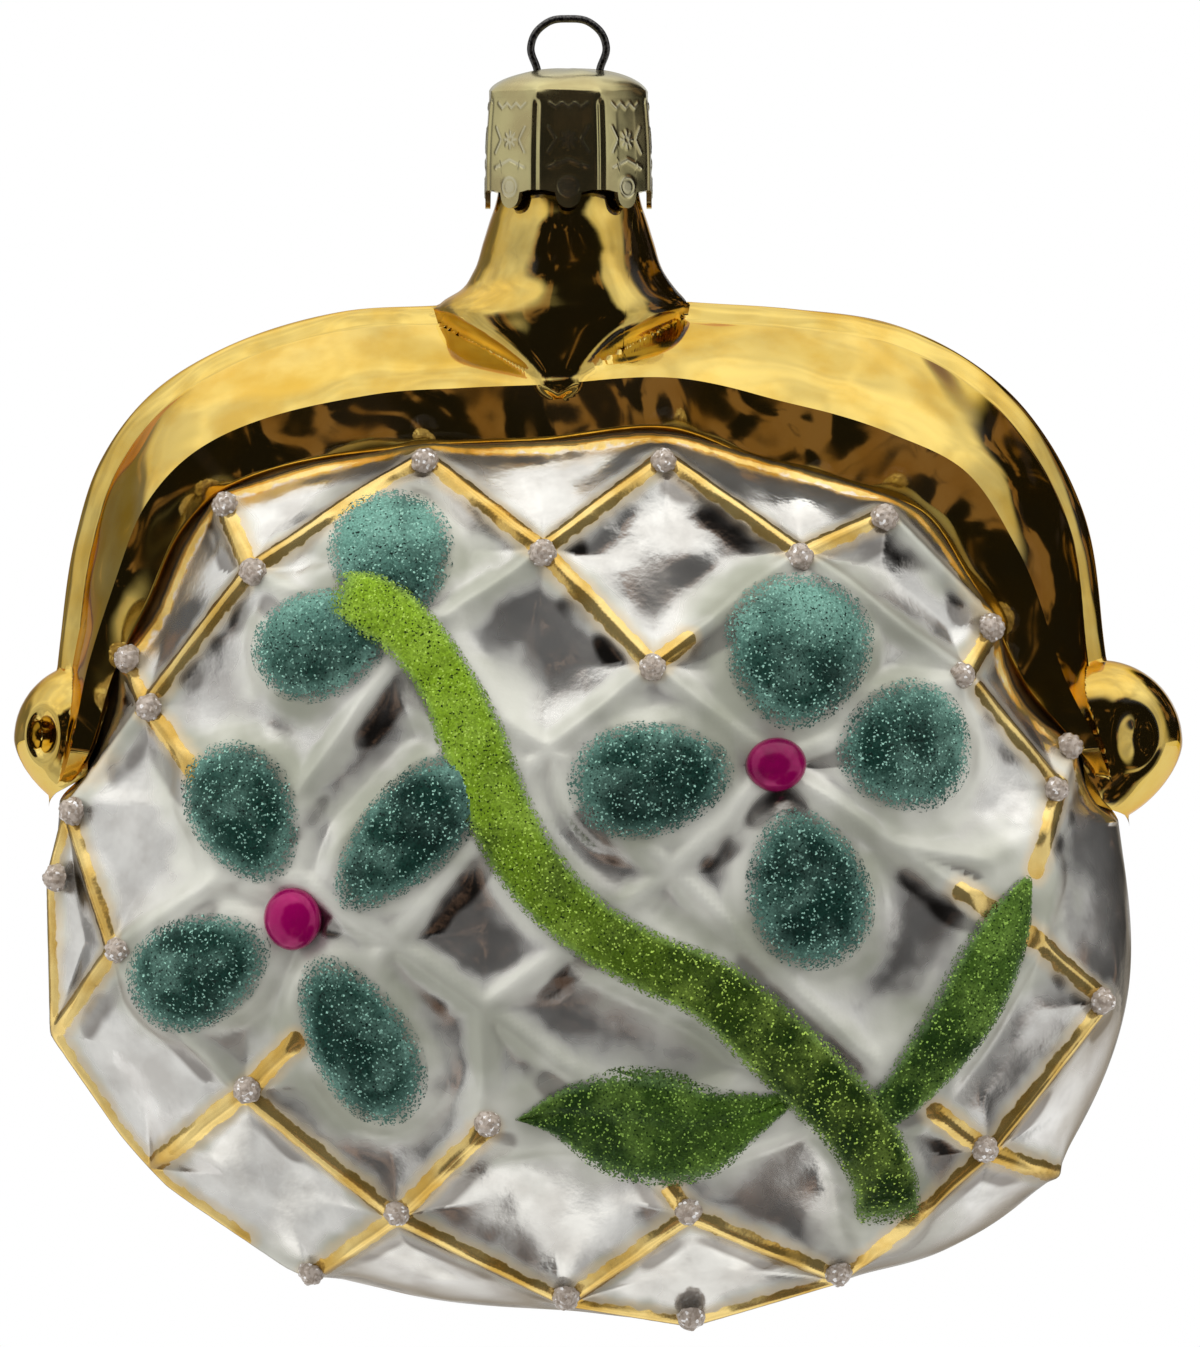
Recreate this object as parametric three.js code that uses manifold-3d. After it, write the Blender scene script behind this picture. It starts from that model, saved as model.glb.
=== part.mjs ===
// A hanging glass ornament in the shape of a clasped coin purse. One blown shell makes the neck, the
// clasp frame with its two end knobs and the quilted pouch. A pressed metal cap closes the neck, and a
// sprung wire loop goes through the cap. Glitter petals, berries, a stem and beads of grit lie on the glass.
// Millimetres, +Z up, front towards -Y. The origin is the inside of the top of the wire loop.
import * as THREE from "three";
import { mergeVertices } from "three/addons/utils/BufferGeometryUtils.js";
import Module from "manifold-3d";

const wasm = await Module();
wasm.setup();

// Fits
const seatGap = 0.3; // between a laid or fitted piece and what carries it

// Hanger wire
const wireDiameter = 0.6;
const loopHalfWidth = 2.9; // centre of the wire
const loopDrop = 3.6; // from the inside of the loop's top to the crown of the cap
const legHalfSpacing = 2.4; // where the two legs go through the cap
const legReach = 11; // how far the legs hang below the neck's rim
const holeClearance = 0.35; // round each leg in the cap

// Glass neck
const neckRadius = 5.5;
const glassWall = 1.1;
const facetSlack = 0.25; // more wall in the purse, where outside and lining are faceted differently
const neckBelowCap = 7.2; // from the cap's lower edge to the top of the frame

// Cap
const capWall = 0.5;
const crownHeight = 2.3;
const skirtHeight = 7.2;
const panelCount = 8;
const lobeRadius = 0.95;
const lobeDrop = 0.45; // lobe centres below the skirt's edge
const grooveWidth = 0.5;
const grooveDepth = 0.18;

// Neck flare: height over the top of the frame, how much wider than the neck it is there, and how much deeper
const neckFlare = [
  [6.3, 0.7, 0.3], [4.2, 1.4, 0.6], [1.9, 2.4, 1.0], [0.2, 4.2, 1.3], [-1.4, 3.6, 1.7], [-3.4, 1.4, 2.1],
  [-6.4, -2.2, 2.7],
];
const flareEnd = -7.5; // where the flare's tongue ends on the frame's crest
const boreEnd = -5; // where the bore opens into the purse

// Purse body: outline and clasp frame, seen from the front, from the purse's centre. The places are
// drawn at one width and height and stretched to these two
const purseWidth = 85.1;
const purseHeight = 79.7;
const purseCentreX = 1.5; // the purse sits a little to the right of its neck
const drawnOutline = [
  [-1.5, 40.4], [-11.5, 40.1], [-19.1, 39.6], [-28.4, 36.7], [-34.0, 33.1], [-37.8, 28.0],
  [-39.7, 22.2], [-40.9, 14.1], [-41.6, 6.3], [-41.9, -0.7], [-42.5, -10.0], [-41.8, -16.9],
  [-37.8, -22.4], [-30.1, -30.5], [-22.3, -35.1], [-15.3, -37.1], [-2.2, -38.6], [7.9, -39.3],
  [21.1, -35.9], [28.1, -33.8], [35.0, -29.3], [38.9, -23.9], [42.6, -13.8], [42.1, -1.1],
  [41.1, 6.3], [40.0, 14.1], [38.4, 24.1], [34.1, 31.8], [29.3, 36.0], [23.4, 38.7],
  [16.0, 39.8], [8.7, 40.3],
];
const drawnInnerEdge = [
  [-41.1, 1.2], [-38.3, 5.5], [-36.3, 11.6], [-33.6, 16.8], [-30.9, 22.4], [-27.0, 25.7],
  [-14.9, 28.2], [-3.6, 28.9], [6.4, 29.8], [13.5, 26.9], [19.6, 25.2], [25.4, 23.5],
  [28.8, 18.7], [33.5, 10.5], [37.5, 6.0], [41.4, -0.3],
];
const pouchDepth = 19.5; // half of the purse's thickness, at the belly
const pouchFullness = 2.4; // 2 is an ellipse, more is fuller
const pouchHem = 0.72; // share of the frame's width, from its outer edge, that the pouch's edge lies under
const frameDepthTop = 8.6; // half of the frame's thickness at its crest, under the neck
const frameDepthEnds = 7.2; // and beside the knobs
const frameCrestTop = 0.57; // share of the frame's width from its outer edge to its crest, under the neck
const frameCrestEnds = 0.5; // and beside the knobs
const frameSteepness = 1.8; // most depth for its width
const rollWidth = 1.5; // the rounded roll along the frame's outer edge
const rollHeight = 1.7;
const mostLip = 1 / 3; // the roll's height as a share of the crest's, at most
const bevelBend = 0.9; // less than 1 bows the bevel between roll and crest out
const faceFall = 0.3; // how steeply the face inside the crest falls back
const faceEnd = 0.93; // share of the width at which that face turns down
const valleyBlend = 1.0;
const leftKnobAt = [-38.6, 6.5];
const leftKnobRadius = 5.9;
const rightKnobAt = [39.7, 6.2];
const rightKnobRadius = 6.4;
const knobDepthShare = 0.78;
const knobPoint = 1.6; // 2 is round below, less is more pointed
const dimpleReach = 3; // from the knob's centre outwards
const dimpleRadius = 1.1;

// Quilting: raised ridges between these crossings
const ridgeHeight = 0.75; // over the glass
const ridgeHalfWidth = 1.3; // at its foot
const ridgeFoot = 0.9; // how far its foot reaches into the glass
const drawnCrossing = {
  topLeft: [-12.6, 28.2], topRight: [5.9, 28.2], crownMid: [-3.5, 21.0], crownRight: [16.4, 20.7],
  shoulderRight: [23.0, 23.8], shoulderLeft: [-28.2, 24.8], upperLeft: [-26.0, 19.5],
  upperMid: [5.0, 12.1], cornerRight: [31.4, 15.2], innerRight: [29.1, 11.5],
  cornerLeft: [-35.8, 12.8], innerLeft: [-34.1, 9.0], hipRight: [37.4, 6.1],
  hipRightLow: [36.4, 2.7], hipLeft: [-40.1, 0.9], hipLeftLow: [-41.4, -4.2],
  budFoot: [-14.6, 12.9], stemTop: [-3.1, 5.7], berryRight: [14.5, 4.5], midRight: [23.6, -1.8],
  lowRight: [34.7, -9.2], edgeRight: [40.0, -13.8], leftMid: [-25.3, -2.2], leftLow: [-36.5, -9.8],
  edgeLeft: [-41.1, -16.2], heart: [-14.9, -9.2], stemMid: [6.4, -3.8], stemLow: [15.7, -12.7],
  stemFoot: [23.0, -19.3], footRight: [30.8, -25.3], footEdge: [36.4, -27.3],
  leafTop: [-8.0, -14.2], leafMid: [0.9, -20.8], leafTip: [-7.7, -23.2], baseMid: [7.8, -30.1],
  baseRight: [19.5, -35.1], baseLeft: [-26.4, -20.7], baseCentre: [-14.8, -30.3],
  bottomMid: [-1.7, -36.9], bottomRight: [8.0, -38.5], cornerLow: [-33.9, -26.7],
  bottomLeft: [-21.5, -35.1], sideRight: [34.3, -3.6],
};
const ridgeLines = [
  ["topLeft", "crownMid", "upperMid", "berryRight", "midRight", "lowRight", "edgeRight"],
  ["topRight", "crownRight", "innerRight", "hipRightLow"],
  ["shoulderRight", "cornerRight"],
  ["shoulderLeft", "upperLeft", "budFoot", "stemTop", "stemMid", "stemLow", "stemFoot", "footRight", "footEdge"],
  ["innerLeft", "leftMid", "heart", "leafTop", "leafMid", "baseMid", "baseRight"],
  ["hipLeft", "leftLow", "baseLeft", "baseCentre", "bottomMid"],
  ["edgeLeft", "cornerLow", "bottomLeft"],
  ["topRight", "crownMid", "budFoot", "leftMid", "leftLow", "edgeLeft"],
  ["topLeft", "upperLeft", "innerLeft", "hipLeft"],
  ["shoulderRight", "crownRight", "upperMid", "stemTop", "heart", "baseLeft", "cornerLow"],
  ["cornerRight", "innerRight", "berryRight", "stemMid", "leafTop", "leafTip", "baseCentre", "bottomLeft"],
  ["hipRight", "hipRightLow", "sideRight", "midRight"],
  ["sideRight", "lowRight", "stemFoot"],
  ["edgeRight", "footRight", "baseRight", "bottomRight"],
  ["cornerLeft", "innerLeft"],
  ["baseMid", "bottomMid", "bottomRight"],
  ["hipLeft", "hipLeftLow", "edgeLeft"],
];
const beaded = [
  "topLeft", "topRight", "crownMid", "crownRight", "shoulderRight", "shoulderLeft", "upperLeft",
  "upperMid", "cornerRight", "innerRight", "cornerLeft", "innerLeft", "hipRight", "hipRightLow",
  "hipLeft", "hipLeftLow", "leftLow", "baseLeft", "leafTip", "baseCentre", "bottomLeft", "baseMid",
  "bottomMid", "bottomRight", "baseRight", "footRight", "edgeRight",
];
const beadRadius = 1.15;
const beadHeight = 1.5;

// Laid glitter: petals as place, half length, half width, direction of the outer end in degrees
const petalHeight = 1.7;
const berryHeight = 1.9;
const stemHeight = 1.5;
const leafHeight = 1.3;
const laidEdge = 0.4; // thickness along a laid piece's rim
const laidSpacing = 0.6; // bare glass between neighbouring laid pieces
const drawnPetals = {
  bud_petal_top: [-15.0, 20.3, 4.7, 4.5, 100],
  bud_petal_side: [-20.2, 13.8, 5.2, 3.9, 200],
  left_petal_top: [-26.3, 0.8, 5.4, 3.9, 115],
  left_petal_right: [-13.8, -0.8, 7.1, 3.5, 47],
  left_petal_side: [-29.7, -11.2, 5.3, 4.0, 205],
  left_petal_bottom: [-17.5, -16.5, 6.7, 3.7, 300],
  right_petal_top: [16.0, 13.1, 5.6, 5.3, 83],
  right_petal_side: [24.1, 5.8, 4.8, 4.8, 12],
  right_petal_bottom: [16.8, -5.0, 5.9, 4.5, 285],
  right_petal_left: [4.8, 3.4, 6.0, 4.2, 188],
};
const drawnBerries = {
  left_berry: [-22.5, -7.5, 2.2, 2.4, 90],
  right_berry: [14.4, 4.5, 2.3, 2.1, 0],
};
const petalTaper = 0.16; // how much wider the outer end is
// Stem, side shoot and leaf as centre line and half width, in the order they grow
const drawnStem = [
  [-18.8, 17.0, 1.6], [-14.6, 14.7, 2.1], [-11.0, 11.0, 2.3], [-8.8, 6.3, 2.6], [-6.8, 0.9, 2.6],
  [-4.1, -3.8, 2.5], [0.2, -8.0, 2.3], [4.8, -10.6, 2.3], [9.5, -12.7, 2.5], [13.7, -16.2, 2.8],
  [17.6, -19.9, 2.9], [20.9, -23.5, 2.9], [22.6, -27.0, 2.9], [23.1, -30.1, 3.1],
];
const drawnShoot = [
  [23.6, -21.0, 1.9], [26.1, -18.1, 2.2], [28.5, -14.8, 2.4], [30.4, -11.1, 2.4], [32.1, -7.5, 1.9],
  [33.6, -4.1, 0.6],
];
const drawnLeaf = [
  [-5.6, -22.6, 0.2], [-2.2, -22.2, 2.3], [1.7, -22.7, 3.9], [5.6, -23.3, 4.2], [8.7, -23.4, 3.7],
  [11.4, -22.8, 2.5], [13.0, -22.2, 1.2],
];

// Fineness of the faceted surfaces
const rimSteps = 60; // round the purse, outside and lining alike
const pouchRings = 5;
const frameRings = 5;
const roundSides = 20;
const beadSides = 7;
const petalRows = 7;
const berryRows = 6;
const stemRows = 17;
const shootRows = 7;
const leafRows = 8;

// Heights that follow from the sizes above
const wireRadius = wireDiameter / 2;
const crownZ = -loopDrop;
const shoulderZ = crownZ - crownHeight;
const skirtFootZ = shoulderZ - skirtHeight;
const lobeZ = skirtFootZ - lobeDrop;
const capFootZ = lobeZ - lobeRadius;
const capInnerRadius = neckRadius + seatGap;
const capOuterRadius = capInnerRadius + capWall;
const neckRimZ = shoulderZ - capWall - seatGap;
const boreRadius = neckRadius - glassWall;
const frontSide = -1;
const backSide = 1;

// The drawn places stretched to the purse's width and height
const spanOf = (values) => Math.max(...values) - Math.min(...values);
const widening = purseWidth / spanOf(drawnOutline.map(([u]) => u));
const heightening = purseHeight / spanOf(drawnOutline.map(([, v]) => v));
const stretched = ([u, v]) => [u * widening, v * heightening];
const stretchedAll = (named) =>
  Object.fromEntries(Object.entries(named).map(([name, place]) => [name, stretched(place)]));
const swelling = Math.sqrt(widening * heightening);
const stretchedPatch = ([u, v, halfLength, halfWidth, degrees]) => [
  ...stretched([u, v]), halfLength * swelling, halfWidth * swelling, degrees,
];
const stretchedRun = (run) => run.map(([u, v, halfWidth]) => [...stretched([u, v]), halfWidth * swelling]);
const stretchedPatches = (named) =>
  Object.fromEntries(Object.entries(named).map(([name, patch]) => [name, stretchedPatch(patch)]));
const outline = drawnOutline.map(stretched);
const frameInnerEdge = drawnInnerEdge.map(stretched);
const crossing = stretchedAll(drawnCrossing);
const petals = stretchedPatches(drawnPetals);
const berries = stretchedPatches(drawnBerries);
const stemRun = stretchedRun(drawnStem);
const shootRun = stretchedRun(drawnShoot);
const leafRun = stretchedRun(drawnLeaf);
const knobs = [
  { at: stretched(leftKnobAt), radius: leftKnobRadius, outwards: -1 },
  { at: stretched(rightKnobAt), radius: rightKnobRadius, outwards: 1 },
];
const outlineTop = Math.max(...outline.map(([, v]) => v));
const frameTopZ = capFootZ - neckBelowCap;
const purseCentreZ = frameTopZ - outlineTop;

// Solid from a closed geometry, turned to face out when it is built the other way round
function solid(geometry) {
  const bare = geometry.clone();
  bare.deleteAttribute("normal");
  bare.deleteAttribute("uv");
  const merged = mergeVertices(bare, 1e-4);
  const corners = new Uint32Array(merged.index.array);
  const vertices = merged.attributes.position.array;
  const made = new wasm.Manifold(
    new wasm.Mesh({ numProp: 3, vertProperties: vertices, triVerts: corners }),
  );
  if (made.volume() > 0) return made;
  for (let i = 0; i < corners.length; i += 3) {
    [corners[i + 1], corners[i + 2]] = [corners[i + 2], corners[i + 1]];
  }
  return new wasm.Manifold(
    new wasm.Mesh({ numProp: 3, vertProperties: vertices, triVerts: corners }),
  );
}

// Geometry of a solid, with flat normals
function geometryOf(made) {
  const mesh = made.getMesh();
  const places = new Float32Array(mesh.numVert * 3);
  for (let i = 0; i < mesh.numVert; i += 1) {
    places.set(mesh.vertProperties.subarray(i * mesh.numProp, i * mesh.numProp + 3), i * 3);
  }
  const geometry = new THREE.BufferGeometry();
  geometry.setAttribute("position", new THREE.BufferAttribute(places, 3));
  geometry.setIndex(new THREE.BufferAttribute(new Uint32Array(mesh.triVerts), 1));
  const flat = geometry.toNonIndexed();
  flat.computeVertexNormals();
  return flat;
}

// A closed body through a row of rings with as many points each, its two ends closed to a middle point
function loft(rings) {
  const count = rings[0].length;
  const places = rings.flat().flatMap((p) => [p.x, p.y, p.z]);
  const faces = [];
  for (let r = 0; r + 1 < rings.length; r += 1) {
    for (let i = 0; i < count; i += 1) {
      const next = (i + 1) % count;
      const a = r * count + i;
      const b = r * count + next;
      const c = a + count;
      const d = b + count;
      faces.push(a, b, c, b, d, c);
    }
  }
  const addEnd = (ring, start, flipped) => {
    const middle = new THREE.Vector3();
    ring.forEach((p) => middle.addScaledVector(p, 1 / count));
    places.push(middle.x, middle.y, middle.z);
    const hub = places.length / 3 - 1;
    for (let i = 0; i < count; i += 1) {
      const next = (i + 1) % count;
      if (flipped) faces.push(hub, start + next, start + i);
      else faces.push(hub, start + i, start + next);
    }
  };
  addEnd(rings[0], 0, true);
  addEnd(rings[rings.length - 1], (rings.length - 1) * count, false);
  const geometry = new THREE.BufferGeometry();
  geometry.setAttribute("position", new THREE.Float32BufferAttribute(places, 3));
  geometry.setIndex(faces);
  return geometry;
}

function tube(points, radius, sides, steps) {
  const section = new THREE.Shape();
  for (let i = 0; i < sides; i += 1) {
    const turn = (2 * Math.PI * i) / sides;
    const x = radius * Math.cos(turn);
    const y = radius * Math.sin(turn);
    if (i === 0) section.moveTo(x, y);
    else section.lineTo(x, y);
  }
  return new THREE.ExtrudeGeometry(section, {
    steps,
    bevelEnabled: false,
    extrudePath: new THREE.CatmullRomCurve3(points, false, "centripetal"),
  });
}

// A turned body from a profile of radius and height
function turned(profile, sides, phase = 0) {
  const points = profile.map(([radius, height]) => new THREE.Vector2(radius, height));
  return new THREE.LatheGeometry(points, sides, phase).rotateX(Math.PI / 2);
}

// Smooth radius against angle through hand-picked points
function radiusByAngle(points, closed) {
  const stations = points
    .map(([u, v]) => ({ angle: Math.atan2(v, u), radius: Math.hypot(u, v) }))
    .map((s) => ({ angle: s.angle < -Math.PI / 2 && !closed ? s.angle + 2 * Math.PI : s.angle, radius: s.radius }))
    .sort((a, b) => a.angle - b.angle);
  const count = stations.length;
  const station = (i) => {
    const wrapped = ((i % count) + count) % count;
    const turns = Math.floor(i / count);
    return { angle: stations[wrapped].angle + turns * 2 * Math.PI, radius: stations[wrapped].radius };
  };
  return (angle) => {
    let i = stations.findIndex((s) => s.angle > angle);
    if (!closed && (i <= 0)) return null;
    if (i < 0) i = count;
    const [p, a, b, n] = [station(i - 2), station(i - 1), station(i), station(i + 1)];
    const span = b.angle - a.angle;
    const t = (angle - a.angle) / span;
    const first = closed || i > 1;
    const last = closed || i < count - 1;
    const slopeA = first ? ((b.radius - p.radius) / (b.angle - p.angle)) * span : b.radius - a.radius;
    const slopeB = last ? ((n.radius - a.radius) / (n.angle - a.angle)) * span : b.radius - a.radius;
    const t2 = t * t;
    const t3 = t2 * t;
    return (
      (2 * t3 - 3 * t2 + 1) * a.radius +
      (t3 - 2 * t2 + t) * slopeA +
      (3 * t2 - 2 * t3) * b.radius +
      (t3 - t2) * slopeB
    );
  };
}

const outlineRadius = radiusByAngle(outline, true);
const innerRadius = radiusByAngle(frameInnerEdge, false);

// Width of the clasp frame at an angle, nothing below the knobs
function frameWidth(angle) {
  const upward = angle < -Math.PI / 2 ? angle + 2 * Math.PI : angle;
  const inner = innerRadius(upward);
  return inner === null ? 0 : Math.max(outlineRadius(angle) - inner, 0);
}

const round = 2; // fullness of a circle or an ellipse
const dome = (share, fullness) => Math.sqrt(Math.max(1 - Math.abs(share) ** fullness, 0));

// How far up the frame a place is, from the knobs to the neck
const riseOf = (v) => THREE.MathUtils.smoothstep(v, 0, outlineTop);
const crestShareOf = (v) => THREE.MathUtils.lerp(frameCrestEnds, frameCrestTop, riseOf(v));
const rollOf = (crestAt) => Math.min(rollWidth, crestAt / 2);

// Half thickness of the clasp frame: an outer roll, a bevel up to the crest, and a face that falls back
function frameDepth(v, width, inwards) {
  if (width <= 0 || inwards < 0 || inwards > width) return 0;
  const ending = THREE.MathUtils.lerp(frameDepthEnds, frameDepthTop, riseOf(v));
  const crest = Math.min(ending, frameSteepness * width);
  const crestAt = width * crestShareOf(v);
  const roll = rollOf(crestAt);
  const lip = Math.min(rollHeight, crest * mostLip);
  if (inwards < roll) return lip * dome(1 - inwards / roll, round);
  if (inwards < crestAt) return lip + (crest - lip) * ((inwards - roll) / (crestAt - roll)) ** bevelBend;
  const turning = Math.max(inwards / width - faceEnd, 0) / (1 - faceEnd);
  return (crest - faceFall * (inwards - crestAt)) * dome(turning, round);
}

// Half thickness of the purse at a place seen from the front
function halfDepth(u, v) {
  const angle = Math.atan2(v, u);
  const radius = Math.hypot(u, v);
  const edge = outlineRadius(angle);
  const width = frameWidth(angle);
  const pouch = pouchDepth * dome(Math.min(radius / (edge - width * pouchHem), 1), pouchFullness);
  const frame = frameDepth(v, width, edge - radius);
  const blend = Math.min(valleyBlend, (pouch + frame) / 2);
  const near = Math.max(blend - Math.abs(pouch - frame), 0);
  return Math.max(pouch, frame) + (blend > 0 ? (near * near) / (4 * blend) : 0);
}

// The same with the knobs, which are round above and pointed below
function coveredDepth(u, v) {
  const drops = knobs.map(({ at, radius }) => {
    const fullness = v < at[1] ? knobPoint : round;
    const sideways = Math.abs(u - at[0]) / radius;
    const upright = Math.abs(v - at[1]) / radius;
    const reach = (sideways ** fullness + upright ** fullness) ** (1 / fullness);
    return radius * knobDepthShare * dome(Math.min(reach, 1), round);
  });
  return Math.max(halfDepth(u, v), ...drops);
}

const placeOf = (u, v, y) => new THREE.Vector3(purseCentreX + u, y, purseCentreZ + v);

// A place on the glass and the way out of it, kept just inside the outline
function onGlass(u, v, side) {
  const edge = outlineRadius(Math.atan2(v, u));
  const shareKept = 0.985;
  const keep = Math.min(1, (shareKept * edge) / Math.hypot(u, v));
  const [su, sv] = [u * keep, v * keep];
  const step = 0.05;
  const slopeU = (coveredDepth(su + step, sv) - coveredDepth(su - step, sv)) / (2 * step);
  const slopeV = (coveredDepth(su, sv + step) - coveredDepth(su, sv - step)) / (2 * step);
  return {
    point: placeOf(su, sv, side * coveredDepth(su, sv)),
    out: new THREE.Vector3(-slopeU, side, -slopeV).normalize(),
  };
}

// The purse's skin, moved by a wall towards the seam and towards the purse's middle
function purseSkin(wall) {
  const rings = Array.from({ length: pouchRings + frameRings }, () => []);
  const ringCount = rings.length;
  const leastBand = 5;
  const valleyAt = 0.85; // share of the frame's width
  const rollTopAt = 0.3; // share of the roll's width
  const shrinking = 0.75; // share of the wall that the skin moves in from the edge
  const thinning = 1.15; // share of the wall that it moves in from the face
  const thinnest = 0.25; // share of the depth that is left inside where the wall takes the rest
  for (let i = 0; i < rimSteps; i += 1) {
    const angle = (2 * Math.PI * i) / rimSteps - Math.PI;
    const edge = outlineRadius(angle);
    const width = frameWidth(angle);
    const pouchEdge = edge - Math.max(width, leastBand);
    const band = width > leastBand / 2 ? width : leastBand;
    const crestAt = band * crestShareOf(edge * Math.sin(angle));
    const roll = rollOf(crestAt);
    const pouchRadii = Array.from({ length: pouchRings }, (_, k) => (pouchEdge * (k + 1)) / pouchRings);
    const frameRadii = [band * valleyAt, crestAt, roll, roll * rollTopAt, 0].map((inwards) => edge - inwards);
    [...pouchRadii, ...frameRadii].forEach((radius, k) => rings[k].push({ angle, radius }));
  }
  const places = [];
  const lay = (angle, radius, side) => {
    const [u, v] = [radius * Math.cos(angle), radius * Math.sin(angle)];
    const inside = Math.max(radius - shrinking * wall, 0) / Math.max(radius, 1);
    const depth = halfDepth(u, v);
    const point = placeOf(u * inside, v * inside, side * Math.max(depth - thinning * wall, thinnest * depth));
    places.push(point.x, point.y, point.z);
  };
  for (const side of [frontSide, backSide]) {
    lay(Math.PI / 2, 0, side);
    rings.slice(0, -1).forEach((ring) => ring.forEach(({ angle, radius }) => lay(angle, radius, side)));
  }
  rings[ringCount - 1].forEach(({ angle, radius }) => lay(angle, radius, 0));
  const perSide = 1 + (ringCount - 1) * rimSteps;
  const faces = [];
  for (const half of [0, 1]) {
    const hub = half * perSide;
    const corner = (k, i) => (k === ringCount ? 2 * perSide : hub + 1 + (k - 1) * rimSteps) + (i % rimSteps);
    const face = (a, b, c) => (half === 0 ? faces.push(a, b, c) : faces.push(a, c, b));
    for (let i = 0; i < rimSteps; i += 1) {
      face(hub, corner(1, i), corner(1, i + 1));
      for (let k = 1; k < ringCount; k += 1) {
        face(corner(k, i), corner(k + 1, i), corner(k + 1, i + 1));
        face(corner(k, i), corner(k + 1, i + 1), corner(k, i + 1));
      }
    }
  }
  const geometry = new THREE.BufferGeometry();
  geometry.setAttribute("position", new THREE.Float32BufferAttribute(places, 3));
  geometry.setIndex(faces);
  return geometry;
}

// Stations along an egg-shaped petal: place, direction across, half width and share of the height
function petalStations([u, v, halfLength, halfWidth, degrees], count) {
  const turn = THREE.MathUtils.degToRad(degrees);
  const along = [Math.cos(turn), Math.sin(turn)];
  const setIn = 0.35; // how far in from the tips the first and the last station stand, in steps
  return Array.from({ length: count }, (_, i) => {
    const t = -Math.cos((Math.PI * (i + setIn)) / (count - 1 + 2 * setIn));
    const reach = halfLength * t;
    const girth = dome(t, round);
    return {
      at: [u + along[0] * reach, v + along[1] * reach],
      across: [-along[1], along[0]],
      halfWidth: halfWidth * girth * (1 + petalTaper * t),
      share: girth,
    };
  });
}

// Stations along a stem, shoot or leaf that follows a run of centre points
function runStations(run, count) {
  const line = new THREE.CatmullRomCurve3(
    run.map(([u, v, halfWidth]) => new THREE.Vector3(u, v, halfWidth)),
    false,
    "centripetal",
  );
  const endShare = 0.35; // of the height, at both ends
  const riseSteps = 2; // over which the full height is nearly reached
  return Array.from({ length: count }, (_, i) => {
    const t = i / (count - 1);
    const spot = line.getPoint(t);
    const way = line.getTangent(t);
    const length = Math.hypot(way.x, way.y);
    return {
      at: [spot.x, spot.y],
      across: [-way.y / length, way.x / length],
      halfWidth: spot.z,
      share: Math.min(1, endShare + Math.min(i, count - 1 - i) / riseSteps),
    };
  });
}

// A domed patch laid along stations on the glass
function laidPatch(stations, height, side) {
  const under = [-1, 0, 1];
  const over = [1, 0.55, 0, -0.55, -1];
  return loft(
    stations.map(({ at, across, halfWidth, share }) => {
      const point = (offset, lift) => {
        const spot = onGlass(
          at[0] + across[0] * halfWidth * offset,
          at[1] + across[1] * halfWidth * offset,
          side,
        );
        return spot.point.addScaledVector(spot.out, lift);
      };
      const crown = (offset) => laidEdge + (height - laidEdge) * share * dome(offset, round);
      return [
        ...under.map((offset) => point(offset, seatGap)),
        ...over.map((offset) => point(offset, seatGap + crown(offset))),
      ];
    }),
  );
}

// Upright column over a laid piece, wider by a margin, that keeps other pieces clear of it
function clearColumn(stations, margin, side) {
  const left = stations.map(({ at, across, halfWidth }) => [
    at[0] + across[0] * (halfWidth + margin),
    at[1] + across[1] * (halfWidth + margin),
  ]);
  const right = stations.map(({ at, across, halfWidth }) => [
    at[0] - across[0] * (halfWidth + margin),
    at[1] - across[1] * (halfWidth + margin),
  ]);
  const end = stations.length - 1;
  const beyond = (i, before) => {
    const way = [stations[i].at[0] - stations[before].at[0], stations[i].at[1] - stations[before].at[1]];
    const length = Math.hypot(...way);
    return [left[i], right[i]].map(([u, v]) => [u + (way[0] * margin) / length, v + (way[1] * margin) / length]);
  };
  const [firstLeft, firstRight] = beyond(0, 1);
  const [lastLeft, lastRight] = beyond(end, end - 1);
  const corners = [firstLeft, ...left, lastLeft, lastRight, ...[...right].reverse(), firstRight];
  const shape = new THREE.Shape(corners.map(([u, v]) => new THREE.Vector2(u, v)));
  const reach = pouchDepth + petalHeight + 2;
  const column = new THREE.ExtrudeGeometry(shape, { depth: reach, bevelEnabled: false, steps: 1 });
  column.rotateX(Math.PI / 2);
  column.translate(purseCentreX, side === backSide ? reach : 0, purseCentreZ);
  return solid(column);
}

// Materials
const finish = (color, roughness, metalness) =>
  new THREE.MeshStandardMaterial({ color, roughness, metalness });
const silver = new THREE.Color(0xd8d5cf);
const gold = new THREE.Color(0xd8ad3c);

const ornament = new THREE.Group();
function addPiece(name, geometry, material) {
  const mesh = new THREE.Mesh(geometry, material);
  mesh.name = name;
  ornament.add(mesh);
  return mesh;
}

// Laid pieces of one side, each cut clear of those that lie over it
function laidPieces(side) {
  const pieces = [];
  const columns = [];
  const lay = (name, stations, height, over = []) => {
    let made = solid(laidPatch(stations, height, side));
    over.forEach((column) => {
      made = made.subtract(column);
    });
    const column = clearColumn(stations, laidSpacing, side);
    columns.push(column);
    pieces.push({ name, made });
    return column;
  };
  const stem = lay("stem", runStations(stemRun, stemRows), stemHeight);
  lay("side_shoot", runStations(shootRun, shootRows), stemHeight, [stem]);
  lay("leaf", runStations(leafRun, leafRows), leafHeight, [stem]);
  const middles = Object.entries(berries).map(([name, sizes]) =>
    lay(name, petalStations(sizes, berryRows), berryHeight),
  );
  Object.entries(petals).forEach(([name, sizes]) =>
    lay(name, petalStations(sizes, petalRows), petalHeight, [stem, ...middles]),
  );
  return { pieces, columns };
}

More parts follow.
